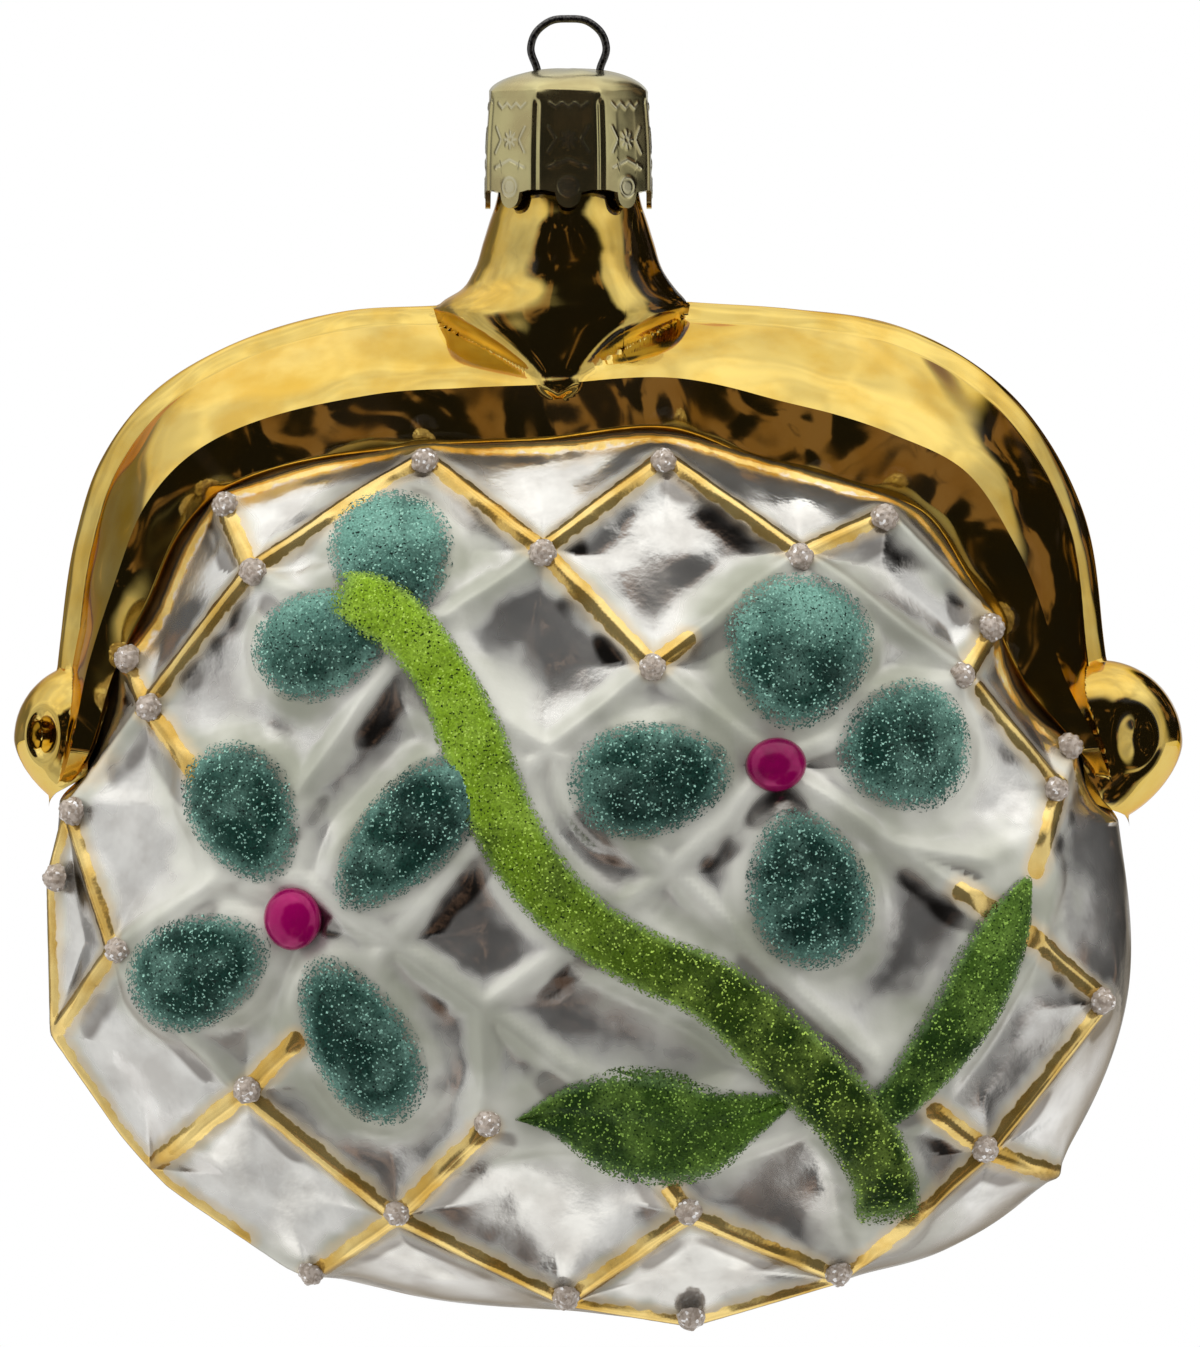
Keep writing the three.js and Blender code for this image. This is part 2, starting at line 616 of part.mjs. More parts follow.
// Ridges of one side's quilting, each with its foot in the glass, left out under the laid pieces
function ridges(columns, side) {
  const stepsPerSpan = 2;
  let made = null;
  ridgeLines.forEach((line) => {
    const ends = line.map((name) => crossing[name]);
    const spots = [];
    ends.slice(1).forEach((end, i) => {
      const start = ends[i];
      for (let s = i === 0 ? 0 : 1; s <= stepsPerSpan; s += 1) {
        const t = s / stepsPerSpan;
        const u = THREE.MathUtils.lerp(start[0], end[0], t);
        const v = THREE.MathUtils.lerp(start[1], end[1], t);
        spots.push(onGlass(u, v, side));
      }
    });
    const rings = spots.map(({ point, out }, i) => {
      const before = spots[Math.max(i - 1, 0)].point;
      const after = spots[Math.min(i + 1, spots.length - 1)].point;
      const across = after.clone().sub(before).cross(out).normalize();
      const foot = (end) =>
        point.clone().addScaledVector(across, end * ridgeHalfWidth).addScaledVector(out, -ridgeFoot);
      return [point.clone().addScaledVector(out, ridgeHeight), foot(1), foot(-1)];
    });
    const one = solid(loft(rings));
    made = made === null ? one : made.add(one);
  });
  columns.forEach((column) => {
    made = made.subtract(column);
  });
  return made;
}

// A knob: a ball whose lower half is drawn in to a point
function knobBall({ at, radius }) {
  const ball = new THREE.SphereGeometry(1, 16, 10).rotateX(Math.PI / 2);
  const places = ball.attributes.position;
  for (let i = 0; i < places.count; i += 1) {
    const down = Math.min(-places.getZ(i), 1);
    const girth = dome(down, round);
    const pointed = Math.max(1 - Math.max(down, 0) ** knobPoint, 0) ** (1 / knobPoint);
    const narrowing = down > 0 && girth > 0.01 ? pointed / girth : 1;
    places.setX(i, places.getX(i) * narrowing);
    places.setY(i, places.getY(i) * narrowing);
  }
  ball.scale(radius, radius * knobDepthShare, radius);
  ball.translate(purseCentreX + at[0], 0, purseCentreZ + at[1]);
  return solid(ball);
}

function dimples({ at, radius, outwards }) {
  const depth = radius * knobDepthShare * dome(dimpleReach / radius, round);
  return [frontSide, backSide].map((side) => {
    const hollow = new THREE.SphereGeometry(dimpleRadius, 8, 6);
    const middle = purseCentreX + at[0] + outwards * dimpleReach;
    hollow.translate(middle, side * depth, purseCentreZ + at[1]);
    return solid(hollow);
  });
}

// The neck and its flare, which is wider than it is deep
function neckBody() {
  const flare = [
    [0, neckRimZ],
    [neckRadius, neckRimZ],
    [neckRadius, capFootZ],
    ...neckFlare.map(([height, wider]) => [neckRadius + wider, frameTopZ + height]),
    [0, frameTopZ + flareEnd],
  ];
  const body = turned(flare, roundSides);
  const places = body.attributes.position;
  for (let i = 0; i < places.count; i += 1) {
    const level = neckFlare.find(([height]) => Math.abs(places.getZ(i) - frameTopZ - height) < 1e-4);
    if (level) places.setY(i, (places.getY(i) * (neckRadius + level[2])) / (neckRadius + level[1]));
  }
  return solid(body);
}

// The blown shell
function glassShell(laidColumns) {
  let outside = solid(purseSkin(0)).add(neckBody());
  knobs.forEach((knob) => {
    outside = outside.add(knobBall(knob));
  });
  outside = outside.add(ridges(laidColumns[0], frontSide)).add(ridges(laidColumns[1], backSide));
  knobs.flatMap(dimples).forEach((hollow) => {
    outside = outside.subtract(hollow);
  });
  const bore = [
    [0, neckRimZ + 1],
    [boreRadius, neckRimZ + 1],
    [boreRadius, frameTopZ + boreEnd + 1],
    [0, frameTopZ + boreEnd],
  ];
  const lining = solid(purseSkin(glassWall + facetSlack)).add(solid(turned(bore, roundSides)));
  return outside.subtract(lining);
}

// Pressed cap: domed crown, eight-sided skirt and a round lobe at the foot of each panel
function pressedCap() {
  const halfPanel = Math.PI / panelCount;
  const corner = 1 / Math.cos(halfPanel);
  const crown = (radius, top, foot) => {
    const rise = top - shoulderZ;
    const arc = [0, 0.3, 0.6, 0.85, 1].map((t) => [radius * t, shoulderZ + rise * dome(t, 2.2)]);
    return solid(turned([...arc, [radius, foot], [0, foot]], roundSides));
  };
  const skirt = (radius, top, foot) => {
    const profile = [
      [0, top],
      [radius * corner, top],
      [radius * corner, foot],
      [0, foot],
    ];
    return solid(turned(profile, panelCount, halfPanel));
  };
  let cap = crown(capOuterRadius, crownZ, shoulderZ - 0.5).add(
    skirt(capOuterRadius, shoulderZ, skirtFootZ),
  );
  const turns = Array.from({ length: panelCount }, (_, i) => (2 * Math.PI * i) / panelCount);
  turns.forEach((turn) => {
    const lobe = new THREE.CylinderGeometry(lobeRadius, lobeRadius, capWall, 12);
    lobe.translate(0, capOuterRadius - capWall / 2, 0);
    lobe.rotateZ(turn);
    lobe.translate(0, 0, lobeZ);
    cap = cap.add(solid(lobe));
    const groove = new THREE.BoxGeometry(grooveWidth, 2 * grooveDepth, skirtHeight + 1);
    groove.translate(0, capOuterRadius * corner, (shoulderZ + skirtFootZ) / 2);
    groove.rotateZ(turn + halfPanel);
    cap = cap.subtract(solid(groove));
  });
  cap = cap.subtract(crown(capInnerRadius, crownZ - capWall, shoulderZ - 1));
  cap = cap.subtract(skirt(capInnerRadius, shoulderZ - capWall, capFootZ - 1));
  [-1, 1].forEach((end) => {
    const hole = new THREE.CylinderGeometry(1, 1, crownHeight + 4, 12);
    hole.scale(wireRadius + holeClearance, 1, wireRadius + holeClearance);
    hole.rotateX(Math.PI / 2);
    hole.translate(end * legHalfSpacing, 0, crownZ - 1);
    cap = cap.subtract(solid(hole));
  });
  return cap;
}

// Sprung wire: a loop above the cap and two legs that spread inside the neck
function hangerWire() {
  const topZ = wireRadius;
  const waistZ = crownZ / 2;
  const footX = boreRadius - wireRadius - 2 * seatGap;
  const rightHalf = [
    [loopHalfWidth * 0.62, topZ - 0.45],
    [loopHalfWidth, waistZ],
    [legHalfSpacing, crownZ - 0.3],
    [legHalfSpacing, shoulderZ],
    [(legHalfSpacing + footX) / 2, neckRimZ - legReach / 3],
    [footX, neckRimZ - legReach + 1.5],
    [footX - 0.8, neckRimZ - legReach],
  ];
  const leftHalf = rightHalf.map(([x, z]) => [-x, z]).reverse();
  const points = [...leftHalf, [0, topZ], ...rightHalf].map(([x, z]) => new THREE.Vector3(x, 0, z));
  return tube(points, wireRadius, 6, 56);
}

// A dome of grit over a crossing of the quilting, with its middle where the crossing is seen
function beadAt(name, side) {
  const [u, v] = crossing[name];
  const lean = onGlass(u, v, side).out.multiplyScalar(seatGap + ridgeHeight + beadRadius / 2);
  const { point, out } = onGlass(u - lean.x, v - lean.z, side);
  // Near the rim the bead stands beside the crossing, where the ridge is lower
  const aside = Math.max(0, Math.hypot(lean.x, lean.z) - beadRadius);
  const ridgeSlope = (ridgeHeight + ridgeFoot) / ridgeHalfWidth;
  const seat = seatGap + Math.max(0, ridgeHeight - ridgeSlope * aside);
  const turnedTo = new THREE.Quaternion().setFromUnitVectors(new THREE.Vector3(0, 0, 1), out);
  const sunk = Array.from({ length: beadSides }, (_, i) => {
    const turn = (2 * Math.PI * i) / beadSides;
    const p = new THREE.Vector3(beadRadius * Math.cos(turn), beadRadius * Math.sin(turn), 0);
    p.applyQuaternion(turnedTo).add(point);
    return (coveredDepth(p.x - purseCentreX, p.z - purseCentreZ) - side * p.y) * Math.abs(out.y);
  });
  const lift = seat + Math.max(0, ...sunk);
  const profile = [
    [0, 0],
    [beadRadius, 0],
    [beadRadius, 0.35 * beadHeight],
    [0.7 * beadRadius, 0.8 * beadHeight],
    [0, beadHeight],
  ];
  const bead = turned(profile, beadSides);
  bead.applyQuaternion(turnedTo);
  bead.translate(...point.addScaledVector(out, lift).toArray());
  return bead;
}

const sides = [
  { side: frontSide, prefix: "" },
  { side: backSide, prefix: "back_" },
];
const laid = sides.map(({ side, prefix }) => ({ prefix, ...laidPieces(side) }));

// Gold lacquer on the neck, the frame, the knobs and the ridges, silver elsewhere
function isGold(x, y, z) {
  const u = x - purseCentreX;
  const v = z - purseCentreZ;
  const angle = Math.atan2(v, u);
  const radius = Math.hypot(u, v);
  const width = frameWidth(angle);
  const onFrame = v > 0 && radius > outlineRadius(angle) - width;
  const onRidge = Math.abs(y) > halfDepth(u, v) + ridgeHeight / 3;
  return onFrame || onRidge;
}

function lacquered(geometry) {
  const places = geometry.attributes.position;
  const colours = new Float32Array(places.count * 3);
  for (let i = 0; i < places.count; i += 3) {
    const middle = new THREE.Vector3();
    for (let k = 0; k < 3; k += 1) {
      middle.addScaledVector(new THREE.Vector3().fromBufferAttribute(places, i + k), 1 / 3);
    }
    const colour = isGold(middle.x, middle.y, middle.z) ? gold : silver;
    for (let k = 0; k < 3; k += 1) colour.toArray(colours, (i + k) * 3);
  }
  geometry.setAttribute("color", new THREE.BufferAttribute(colours, 3));
  return geometry;
}

const glassFinish = finish(0xffffff, 0.12, 0.9);
glassFinish.vertexColors = true;
const laidColumns = laid.map(({ columns }) => columns);
addPiece("glass_shell", lacquered(geometryOf(glassShell(laidColumns))), glassFinish);
addPiece("hanger_cap", geometryOf(pressedCap()), finish(0xc4b488, 0.28, 0.95));
addPiece("hanger_wire", hangerWire(), finish(0x55524c, 0.4, 0.9));

const laidFinishes = [
  [/berry/, () => finish(0xbf006b, 0.2, 0.2)],
  [/stem/, () => finish(0x6f9a1c, 0.6, 0.3)],
  [/shoot|leaf/, () => finish(0x2f6a22, 0.6, 0.3)],
  [/petal/, () => finish(0x357a66, 0.6, 0.3)],
];
laid.forEach(({ prefix, pieces }) => {
  pieces.forEach(({ name, made }) => {
    const [, material] = laidFinishes.find(([kind]) => kind.test(name));
    addPiece(prefix + name, geometryOf(made), material());
  });
});
beaded.forEach((name, i) => {
  addPiece(`bead_${String(i + 1).padStart(2, "0")}`, beadAt(name, frontSide), finish(0xb8aeaa, 0.75, 0));
});

export default ornament;
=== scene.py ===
"""A hanging glass ornament in the shape of a clasped coin purse, dressed over its CAD frame."""
import logging
import math
from dataclasses import dataclass, field
from enum import Enum
from typing import Callable, NamedTuple, Optional, Union

import bpy
import numpy as np
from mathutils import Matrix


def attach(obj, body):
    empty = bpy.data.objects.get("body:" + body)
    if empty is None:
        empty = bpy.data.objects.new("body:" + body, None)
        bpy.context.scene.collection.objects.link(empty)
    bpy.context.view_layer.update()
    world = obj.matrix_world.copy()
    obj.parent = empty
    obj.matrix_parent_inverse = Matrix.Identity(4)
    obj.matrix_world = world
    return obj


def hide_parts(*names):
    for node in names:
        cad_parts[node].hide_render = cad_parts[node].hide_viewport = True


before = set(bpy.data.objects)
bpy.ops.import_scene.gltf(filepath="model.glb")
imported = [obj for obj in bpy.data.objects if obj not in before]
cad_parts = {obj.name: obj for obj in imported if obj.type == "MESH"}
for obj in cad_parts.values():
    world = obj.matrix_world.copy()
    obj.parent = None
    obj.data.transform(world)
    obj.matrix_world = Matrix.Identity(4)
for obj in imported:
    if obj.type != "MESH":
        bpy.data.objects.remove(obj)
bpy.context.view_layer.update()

LOG = logging.getLogger("purse_ornament")
MM = 0.001
Array = np.ndarray
Curve = Callable[[Array], Array]
Colour = tuple[float, float, float]
Range = tuple[float, float]
Piece = bpy.types.Object
Tree = bpy.types.NodeTree
Socket = bpy.types.NodeSocket
Sockets = bpy.types.bpy_prop_collection
Source = Union[Socket, float, Colour]
# Vertices nearer than this many metres are one, on large pieces and on small ones
WELD = 1e-7
FINE_WELD = 1e-8
# Keeps a division from dividing by nothing
TINY = 1e-6


class Side(Enum):
    """A face of the purse, as the sign of Y on it."""

    FRONT = -1
    BACK = 1


class Slot(Enum):
    """Material slots of the record."""

    GLASS = "silvered_glass"
    CAP = "cap_metal"
    WIRE = "spring_wire"
    TEAL = "teal_glitter"
    GREEN = "green_glitter"
    BERRY = "magenta_lacquer"
    GRIT = "frosted_grit"


# Working with meshes


def clear_selection() -> None:
    """Leave nothing selected, so that an operator acts on one piece alone."""
    if bpy.context.object and bpy.context.object.mode != "OBJECT":
        bpy.ops.object.mode_set(mode="OBJECT")
    bpy.ops.object.select_all(action="DESELECT")


def pick(piece: Piece) -> None:
    """Leave one piece alone selected and active.

    Args:
        piece: the piece.
    """
    clear_selection()
    piece.select_set(True)
    bpy.context.view_layer.objects.active = piece


def take_new(name: str) -> Piece:
    """Name the object that an operator has just added.

    Args:
        name: the piece's name.

    Returns:
        The object, alone in the selection.
    """
    piece = bpy.context.object
    piece.name = name
    piece.data.name = name
    return piece


def rows_of(many: Sockets, key: str) -> Array:
    """Three numbers for each of a mesh's parts.

    Args:
        many: the parts.
        key: the name of the numbers.

    Returns:
        One row a part.
    """
    flat = np.empty(len(many) * 3)
    many.foreach_get(key, flat)
    return flat.reshape(-1, 3)


def points_of(piece: Piece) -> Array:
    """The places of a piece's vertices, one row each."""
    return rows_of(piece.data.vertices, "co")


def move_points(piece: Piece, points: Array) -> None:
    """Put a piece's vertices at these places."""
    piece.data.vertices.foreach_set("co", np.ascontiguousarray(points).ravel())
    piece.data.update()


def normals_of(piece: Piece) -> Array:
    """The vertex normals of a piece, one row each."""
    return rows_of(piece.data.vertex_normals, "vector")


def store(piece: Piece, name: str, values: Array) -> None:
    """Keep one number a vertex on a piece, under the name that its material reads."""
    attribute = piece.data.attributes.new(name, "FLOAT", "POINT")
    attribute.data.foreach_set("value", np.ascontiguousarray(values, dtype=np.float32))


def smooth(piece: Piece, degrees: float = 60.0) -> None:
    """Shade a piece smooth, with sharp edges past an angle."""
    pick(piece)
    bpy.ops.object.shade_smooth_by_angle(angle=math.radians(degrees))


def apply_modifier(piece: Piece, kind: str, **settings: object) -> None:
    """Add one modifier to a piece and apply it.

    Args:
        piece: the piece.
        kind: the modifier's type.
        settings: its properties.
    """
    pick(piece)
    modifier = piece.modifiers.new(kind.lower(), kind)
    for key, value in settings.items():
        setattr(modifier, key, value)
    bpy.ops.object.modifier_apply(modifier=modifier.name)


def weld_and_close(piece: Piece, reach: float, fill: bool) -> None:
    """Merge doubles, close open rims if asked, and turn the normals out.

    Args:
        piece: the piece.
        reach: vertices nearer than this are merged.
        fill: whether open rims are filled.
    """
    pick(piece)
    bpy.ops.object.mode_set(mode="EDIT")
    bpy.ops.mesh.select_mode(type="EDGE")
    bpy.ops.mesh.select_all(action="SELECT")
    bpy.ops.mesh.remove_doubles(threshold=reach)
    if fill:
        bpy.ops.mesh.select_all(action="DESELECT")
        bpy.ops.mesh.select_non_manifold(
            extend=False, use_wire=False, use_multi_face=False, use_non_contiguous=False, use_verts=False
        )
        bpy.ops.mesh.edge_face_add()
    bpy.ops.mesh.select_all(action="SELECT")
    bpy.ops.mesh.normals_make_consistent(inside=False)
    bpy.ops.object.mode_set(mode="OBJECT")


def drill(piece: Piece, radius: float, length: float, place: tuple[float, float, float],
          corners: int) -> None:
    """Cut a round upright hole through a piece.

    Args:
        piece: the piece.
        radius: radius of the hole in millimetres.
        length: length of the cutter in millimetres.
        place: middle of the cutter in millimetres.
        corners: corners of the cutter's section.
    """
    clear_selection()
    bpy.ops.mesh.primitive_cylinder_add(
        vertices=corners, radius=radius * MM, depth=length * MM, location=[value * MM for value in place]
    )
    cutter = take_new("cutter")
    bpy.ops.object.transform_apply(location=True, rotation=True, scale=True)
    apply_modifier(piece, "BOOLEAN", operation="DIFFERENCE", object=cutter, solver="EXACT")
    bpy.data.objects.remove(cutter, do_unlink=True)


def sheet(name: str, columns: int, rows: int) -> Piece:
    """A flat grid from -1 to 1 each way, ready to be shaped.

    Args:
        name: the piece's name.
        columns: cells from left to right.
        rows: cells from bottom to top.

    Returns:
        The grid.
    """
    clear_selection()
    bpy.ops.mesh.primitive_grid_add(x_subdivisions=columns, y_subdivisions=rows, size=2.0)
    return take_new(name)


def ball(name: str, segments: int, rings: int) -> Piece:
    """A ball of radius 1 with its poles up and down, ready to be shaped.

    Args:
        name: the piece's name.
        segments: faces round it.
        rings: faces from pole to pole.

    Returns:
        The ball.
    """
    clear_selection()
    bpy.ops.mesh.primitive_uv_sphere_add(segments=segments, ring_count=rings, radius=1.0)
    return take_new(name)


# The purse's form, the same as in the CAD model


def dome(share: Array, fullness: float) -> Array:
    """Height of a rounded dome at a share of its reach."""
    return np.sqrt(np.clip(1.0 - np.abs(share) ** fullness, 0.0, None))


def bell(share: Array) -> Array:
    """A bell curve, 1 in the middle and fading out past a share of 1."""
    return np.exp(-(share**2))


def lengths_along(points: Array) -> Array:
    """Length of a way up to each of its points."""
    return np.concatenate([[0.0], np.cumsum(np.linalg.norm(np.diff(points, axis=0), axis=1))])


def through(knots: Array, values: Array, slopes: Array, at: Array) -> Array:
    """A smooth curve through values at knots.

    Args:
        knots: where the values stand, rising.
        values: one value or one row of values a knot.
        slopes: the curve's slope at each knot.
        at: where it is wanted.

    Returns:
        One value or one row of values a place.
    """
    i = np.clip(np.searchsorted(knots, at, side="right") - 1, 0, len(knots) - 2)
    span = knots[i + 1] - knots[i]
    t = np.clip((at - knots[i]) / span, 0.0, 1.0)
    if values.ndim > 1:
        span, t = span[:, None], t[:, None]
    t2, t3 = t * t, t * t * t
    return (
        (2 * t3 - 3 * t2 + 1) * values[i]
        + (t3 - 2 * t2 + t) * slopes[i] * span
        + (3 * t2 - 2 * t3) * values[i + 1]
        + (t3 - t2) * slopes[i + 1] * span
    )


def radius_by_angle(points: list[tuple[float, float]], closed: bool) -> tuple[Curve, float, float]:
    """A smooth radius against angle through given points.

    Args:
        points: places round the centre.
        closed: whether the curve goes all the way round.

    Returns:
        The curve, and the first and last angle that it covers.
    """
    places = np.array(points)
    angles = np.arctan2(places[:, 1], places[:, 0])
    if not closed:
        angles = np.where(angles < -math.pi / 2, angles + 2 * math.pi, angles)
    order = np.argsort(angles)
    angles = angles[order]
    radii = np.hypot(places[:, 0], places[:, 1])[order]
    if closed:
        turn = 2 * math.pi
        angles = np.concatenate([angles[-2:] - turn, angles, angles[:2] + turn])
        radii = np.concatenate([radii[-2:], radii, radii[:2]])
    slopes = np.gradient(radii, angles)
    slopes[1:-1] = (radii[2:] - radii[:-2]) / (angles[2:] - angles[:-2])

    def curve(angle: Array) -> Array:
        """Radius at each angle."""
        return through(angles, radii, slopes, angle)

    return curve, float(angles[0]), float(angles[-1])


OUTLINE = [
    (-1.5, 40.4), (-11.5, 40.1), (-19.1, 39.6), (-28.4, 36.7), (-34.0, 33.1), (-37.8, 28.0),
    (-39.7, 22.2), (-40.9, 14.1), (-41.6, 6.3), (-41.9, -0.7), (-42.5, -10.0), (-41.8, -16.9),
    (-37.8, -22.4), (-30.1, -30.5), (-22.3, -35.1), (-15.3, -37.1), (-2.2, -38.6), (7.9, -39.3),
    (21.1, -35.9), (28.1, -33.8), (35.0, -29.3), (38.9, -23.9), (42.6, -13.8), (42.1, -1.1),
    (41.1, 6.3), (40.0, 14.1), (38.4, 24.1), (34.1, 31.8), (29.3, 36.0), (23.4, 38.7),
    (16.0, 39.8), (8.7, 40.3),
]
FRAME_INNER_EDGE = [
    (-41.1, 1.2), (-38.3, 5.5), (-36.3, 11.6), (-33.6, 16.8), (-30.9, 22.4), (-27.0, 25.7),
    (-14.9, 28.2), (-3.6, 28.9), (6.4, 29.8), (13.5, 26.9), (19.6, 25.2), (25.4, 23.5),
    (28.8, 18.7), (33.5, 10.5), (37.5, 6.0), (41.4, -0.3),
]
# Height in the shared frame, middle, half width and half depth of the neck, its flare and the tongue below
NECK_SECTIONS = [
    (-6.7, 0.0, 5.5, 5.5), (-14.4, 0.0, 5.75, 5.6), (-15.4, 0.0, 6.1, 5.8), (-17.0, 0.0, 6.6, 6.0),
    (-19.4, 0.0, 7.4, 6.4), (-20.8, 0.0, 8.4, 6.75), (-21.6, -0.3, 9.4, 6.96), (-22.4, -0.6, 9.8, 7.2),
    (-23.3, -0.8, 9.2, 7.45), (-24.4, -0.9, 7.8, 7.75), (-25.8, -0.9, 5.7, 8.15), (-27.4, -0.8, 3.4, 8.6),
    (-28.6, -0.8, 2.1, 8.9), (-29.3, -0.8, 0.0, 8.6),
]


class Knob(NamedTuple):
    """An end knob of the frame in millimetres from the purse's centre."""

    u: float
    v: float
    radius: float


class Dimple(NamedTuple):
    """The ringed dimple of a knob in millimetres."""

    u: float
    v: float
    half_width: float
    half_height: float
    depth: float


@dataclass
class PurseForm:
    """The purse's front form in millimetres, from its centre: u to the right, v up."""

    centre_x: float = 1.5
    centre_z: float = -62.05
    pouch_depth: float = 19.5
    pouch_fullness: float = 2.4
    pouch_hem: float = 0.72
    hem_margin: float = 0.9995
    frame_depth_top: float = 8.6
    frame_depth_ends: float = 7.2
    frame_crest_top: float = 0.57
    frame_crest_ends: float = 0.5
    frame_steepness: float = 2.2
    frame_end_taper: float = 0.06
    roll_width: float = 1.5
    roll_height: float = 1.7
    bevel_bow: float = 0.35
    face_fall: float = 0.3
    face_end: float = 0.93
    knobs: tuple[Knob, ...] = (Knob(-38.6, 6.5, 5.9), Knob(39.7, 6.2, 6.4))
    knob_depth_share: float = 0.78
    knob_point: float = 1.6
    knob_fullness: float = 2.7
    knob_swell: float = 1.06
    dimples: tuple[Dimple, ...] = (Dimple(-42.2, 6.8, 0.75, 1.25, 1.9), Dimple(42.4, 6.75, 1.1, 1.7, 0.7))
    ring_height: float = 0.12
    ring_at: float = 1.8
    ring_width: float = 0.5
    neck_blend: float = 0.7
    flare_top: float = -18.0
    flare_reach: float = 6.0
    flare_fullness: float = 1.4
    valley_reach: float = 16.0
    valley_steps: int = 161
    rim_keep: float = 0.985
    slope_step: float = 0.05
    outline: Curve = field(init=False)
    inner: Curve = field(init=False)
    inner_first: float = field(init=False)
    inner_last: float = field(init=False)

    def __post_init__(self) -> None:
        """Fit the two edge curves."""
        self.outline, _, _ = radius_by_angle(OUTLINE, True)
        self.inner, self.inner_first, self.inner_last = radius_by_angle(FRAME_INNER_EDGE, False)

    def frame_width(self, angle: Array) -> Array:
        """Width of the clasp frame, nothing below the knobs.

        Args:
            angle: directions from the centre in radians.

        Returns:
            The widths.
        """
        upward = np.where(angle < -math.pi / 2, angle + 2 * math.pi, angle)
        to_end = np.minimum(upward - self.inner_first, self.inner_last - upward)
        fading = np.clip(to_end / self.frame_end_taper, 0.0, 1.0)
        width = self.outline(angle) - self.inner(upward)
        return np.clip(width, 0.0, None) * fading * fading * (3 - 2 * fading)

    def pouch_reach(self, angle: Array) -> Array:
        """Radius at which the pouch ends, under the frame."""
        return (self.outline(angle) - self.frame_width(angle) * self.pouch_hem) * self.hem_margin

    def pouch(self, u: Array, v: Array) -> Array:
        """Half thickness of the pouch.

        Args:
            u: places to the right.
            v: places up.

        Returns:
            The half thickness.
        """
        angle = np.arctan2(v, u)
        share = np.clip(np.hypot(u, v) / self.pouch_reach(angle), 0.0, 1.0)
        return self.pouch_depth * dome(share, self.pouch_fullness)

    def rise(self, v: Array) -> Array:
        """How far up the frame a place is, from 0 beside the knobs to 1 under the neck."""
        share = np.clip(v / OUTLINE[0][1], 0.0, 1.0)
        return share * share * (3 - 2 * share)

    def crest_inwards(self, angle: Array) -> Array:
        """Distance from the frame's outer edge to its crest at each angle."""
        rise = self.rise(self.outline(angle) * np.sin(angle))
        return self.frame_width(angle) * (
            self.frame_crest_ends + (self.frame_crest_top - self.frame_crest_ends) * rise
        )

    def clasp(self, u: Array, v: Array) -> Array:
        """Half thickness of the frame: a roll, a bevel up to the crest and a face that falls back.

        Args:
            u: places to the right.
            v: places up.

        Returns:
            The half thickness.
        """
        angle = np.arctan2(v, u)
        width = self.frame_width(angle)
        depth = self.frame_depth_ends + (self.frame_depth_top - self.frame_depth_ends) * self.rise(v)
        crest = np.minimum(depth, self.frame_steepness * width)
        crest_at = np.maximum(self.crest_inwards(angle), TINY)
        roll = np.minimum(self.roll_width, crest_at / 2)
        lip = np.minimum(self.roll_height, crest / 3)
        inwards = self.outline(angle) - np.hypot(u, v)
        on_roll = lip * np.sqrt(np.clip(inwards / roll, 0.0, 1.0))
        climb = np.clip((inwards - roll) / (crest_at - roll), 0.0, 1.0)
        bevel = lip + (crest - lip) * climb * (1 + self.bevel_bow * (1 - climb))
        across = inwards / np.maximum(width, TINY)
        turning = np.clip((across - self.face_end) / (1 - self.face_end), 0.0, 1.0)
        face = (crest - self.face_fall * (inwards - crest_at)) * dome(turning, 2.0)
        form = np.where(inwards < roll, on_roll, np.where(inwards < crest_at, bevel, face))
        return np.where((width > 0) & (inwards >= 0) & (inwards <= width), np.clip(form, 0.0, None), 0.0)

    def knob(self, u: Array, v: Array) -> Array:
        """Half thickness of the end knobs, round above and pointed below, each with a ringed dimple.

        Args:
            u: places to the right.
            v: places up.

        Returns:
            The half thickness.
        """
        depth = np.zeros_like(u)
        for knob, dimple in zip(self.knobs, self.dimples):
            fullness = np.where(v < knob.v, self.knob_point, 2.0)
            sideways, upright = np.abs(u - knob.u) / knob.radius, np.abs(v - knob.v) / knob.radius
            share = (sideways**fullness + upright**fullness) ** (1 / fullness)
            full = knob.radius * self.knob_depth_share * dome(np.clip(share, 0.0, 1.0), self.knob_fullness)
            reach = np.hypot((u - dimple.u) / dimple.half_width, (v - dimple.v) / dimple.half_height)
            ring = self.ring_height * dimple.depth * bell((reach - self.ring_at) / self.ring_width)
            marked = np.minimum(full - dimple.depth * bell(reach) + ring, full * self.knob_swell)
            depth = np.maximum(depth, np.where(share < 1, np.clip(marked, 0.0, None), 0.0))
        return depth

    def neck(self, u: Array, v: Array) -> Array:
        """Half thickness of the round neck, its flare and the tongue that it ends in.

        Args:
            u: places to the right.
            v: places up.

        Returns:
            The half thickness.
        """
        sections = np.array(NECK_SECTIONS)[::-1]
        heights, sizes = sections[:, 0], sections[:, 1:]
        z = v + self.centre_z
        middle, half, depth = through(heights, sizes, np.gradient(sizes, heights, axis=0), z).T
        across = np.abs(u + self.centre_x - middle) / np.maximum(half, TINY)
        inside = (z >= heights[0]) & (z <= heights[-1]) & (across < 1)
        fullness = 2.0 + self.flare_fullness * np.clip((self.flare_top - z) / self.flare_reach, 0.0, 1.0)
        return np.where(inside, depth * dome(np.clip(across, 0.0, 1.0), fullness), 0.0)

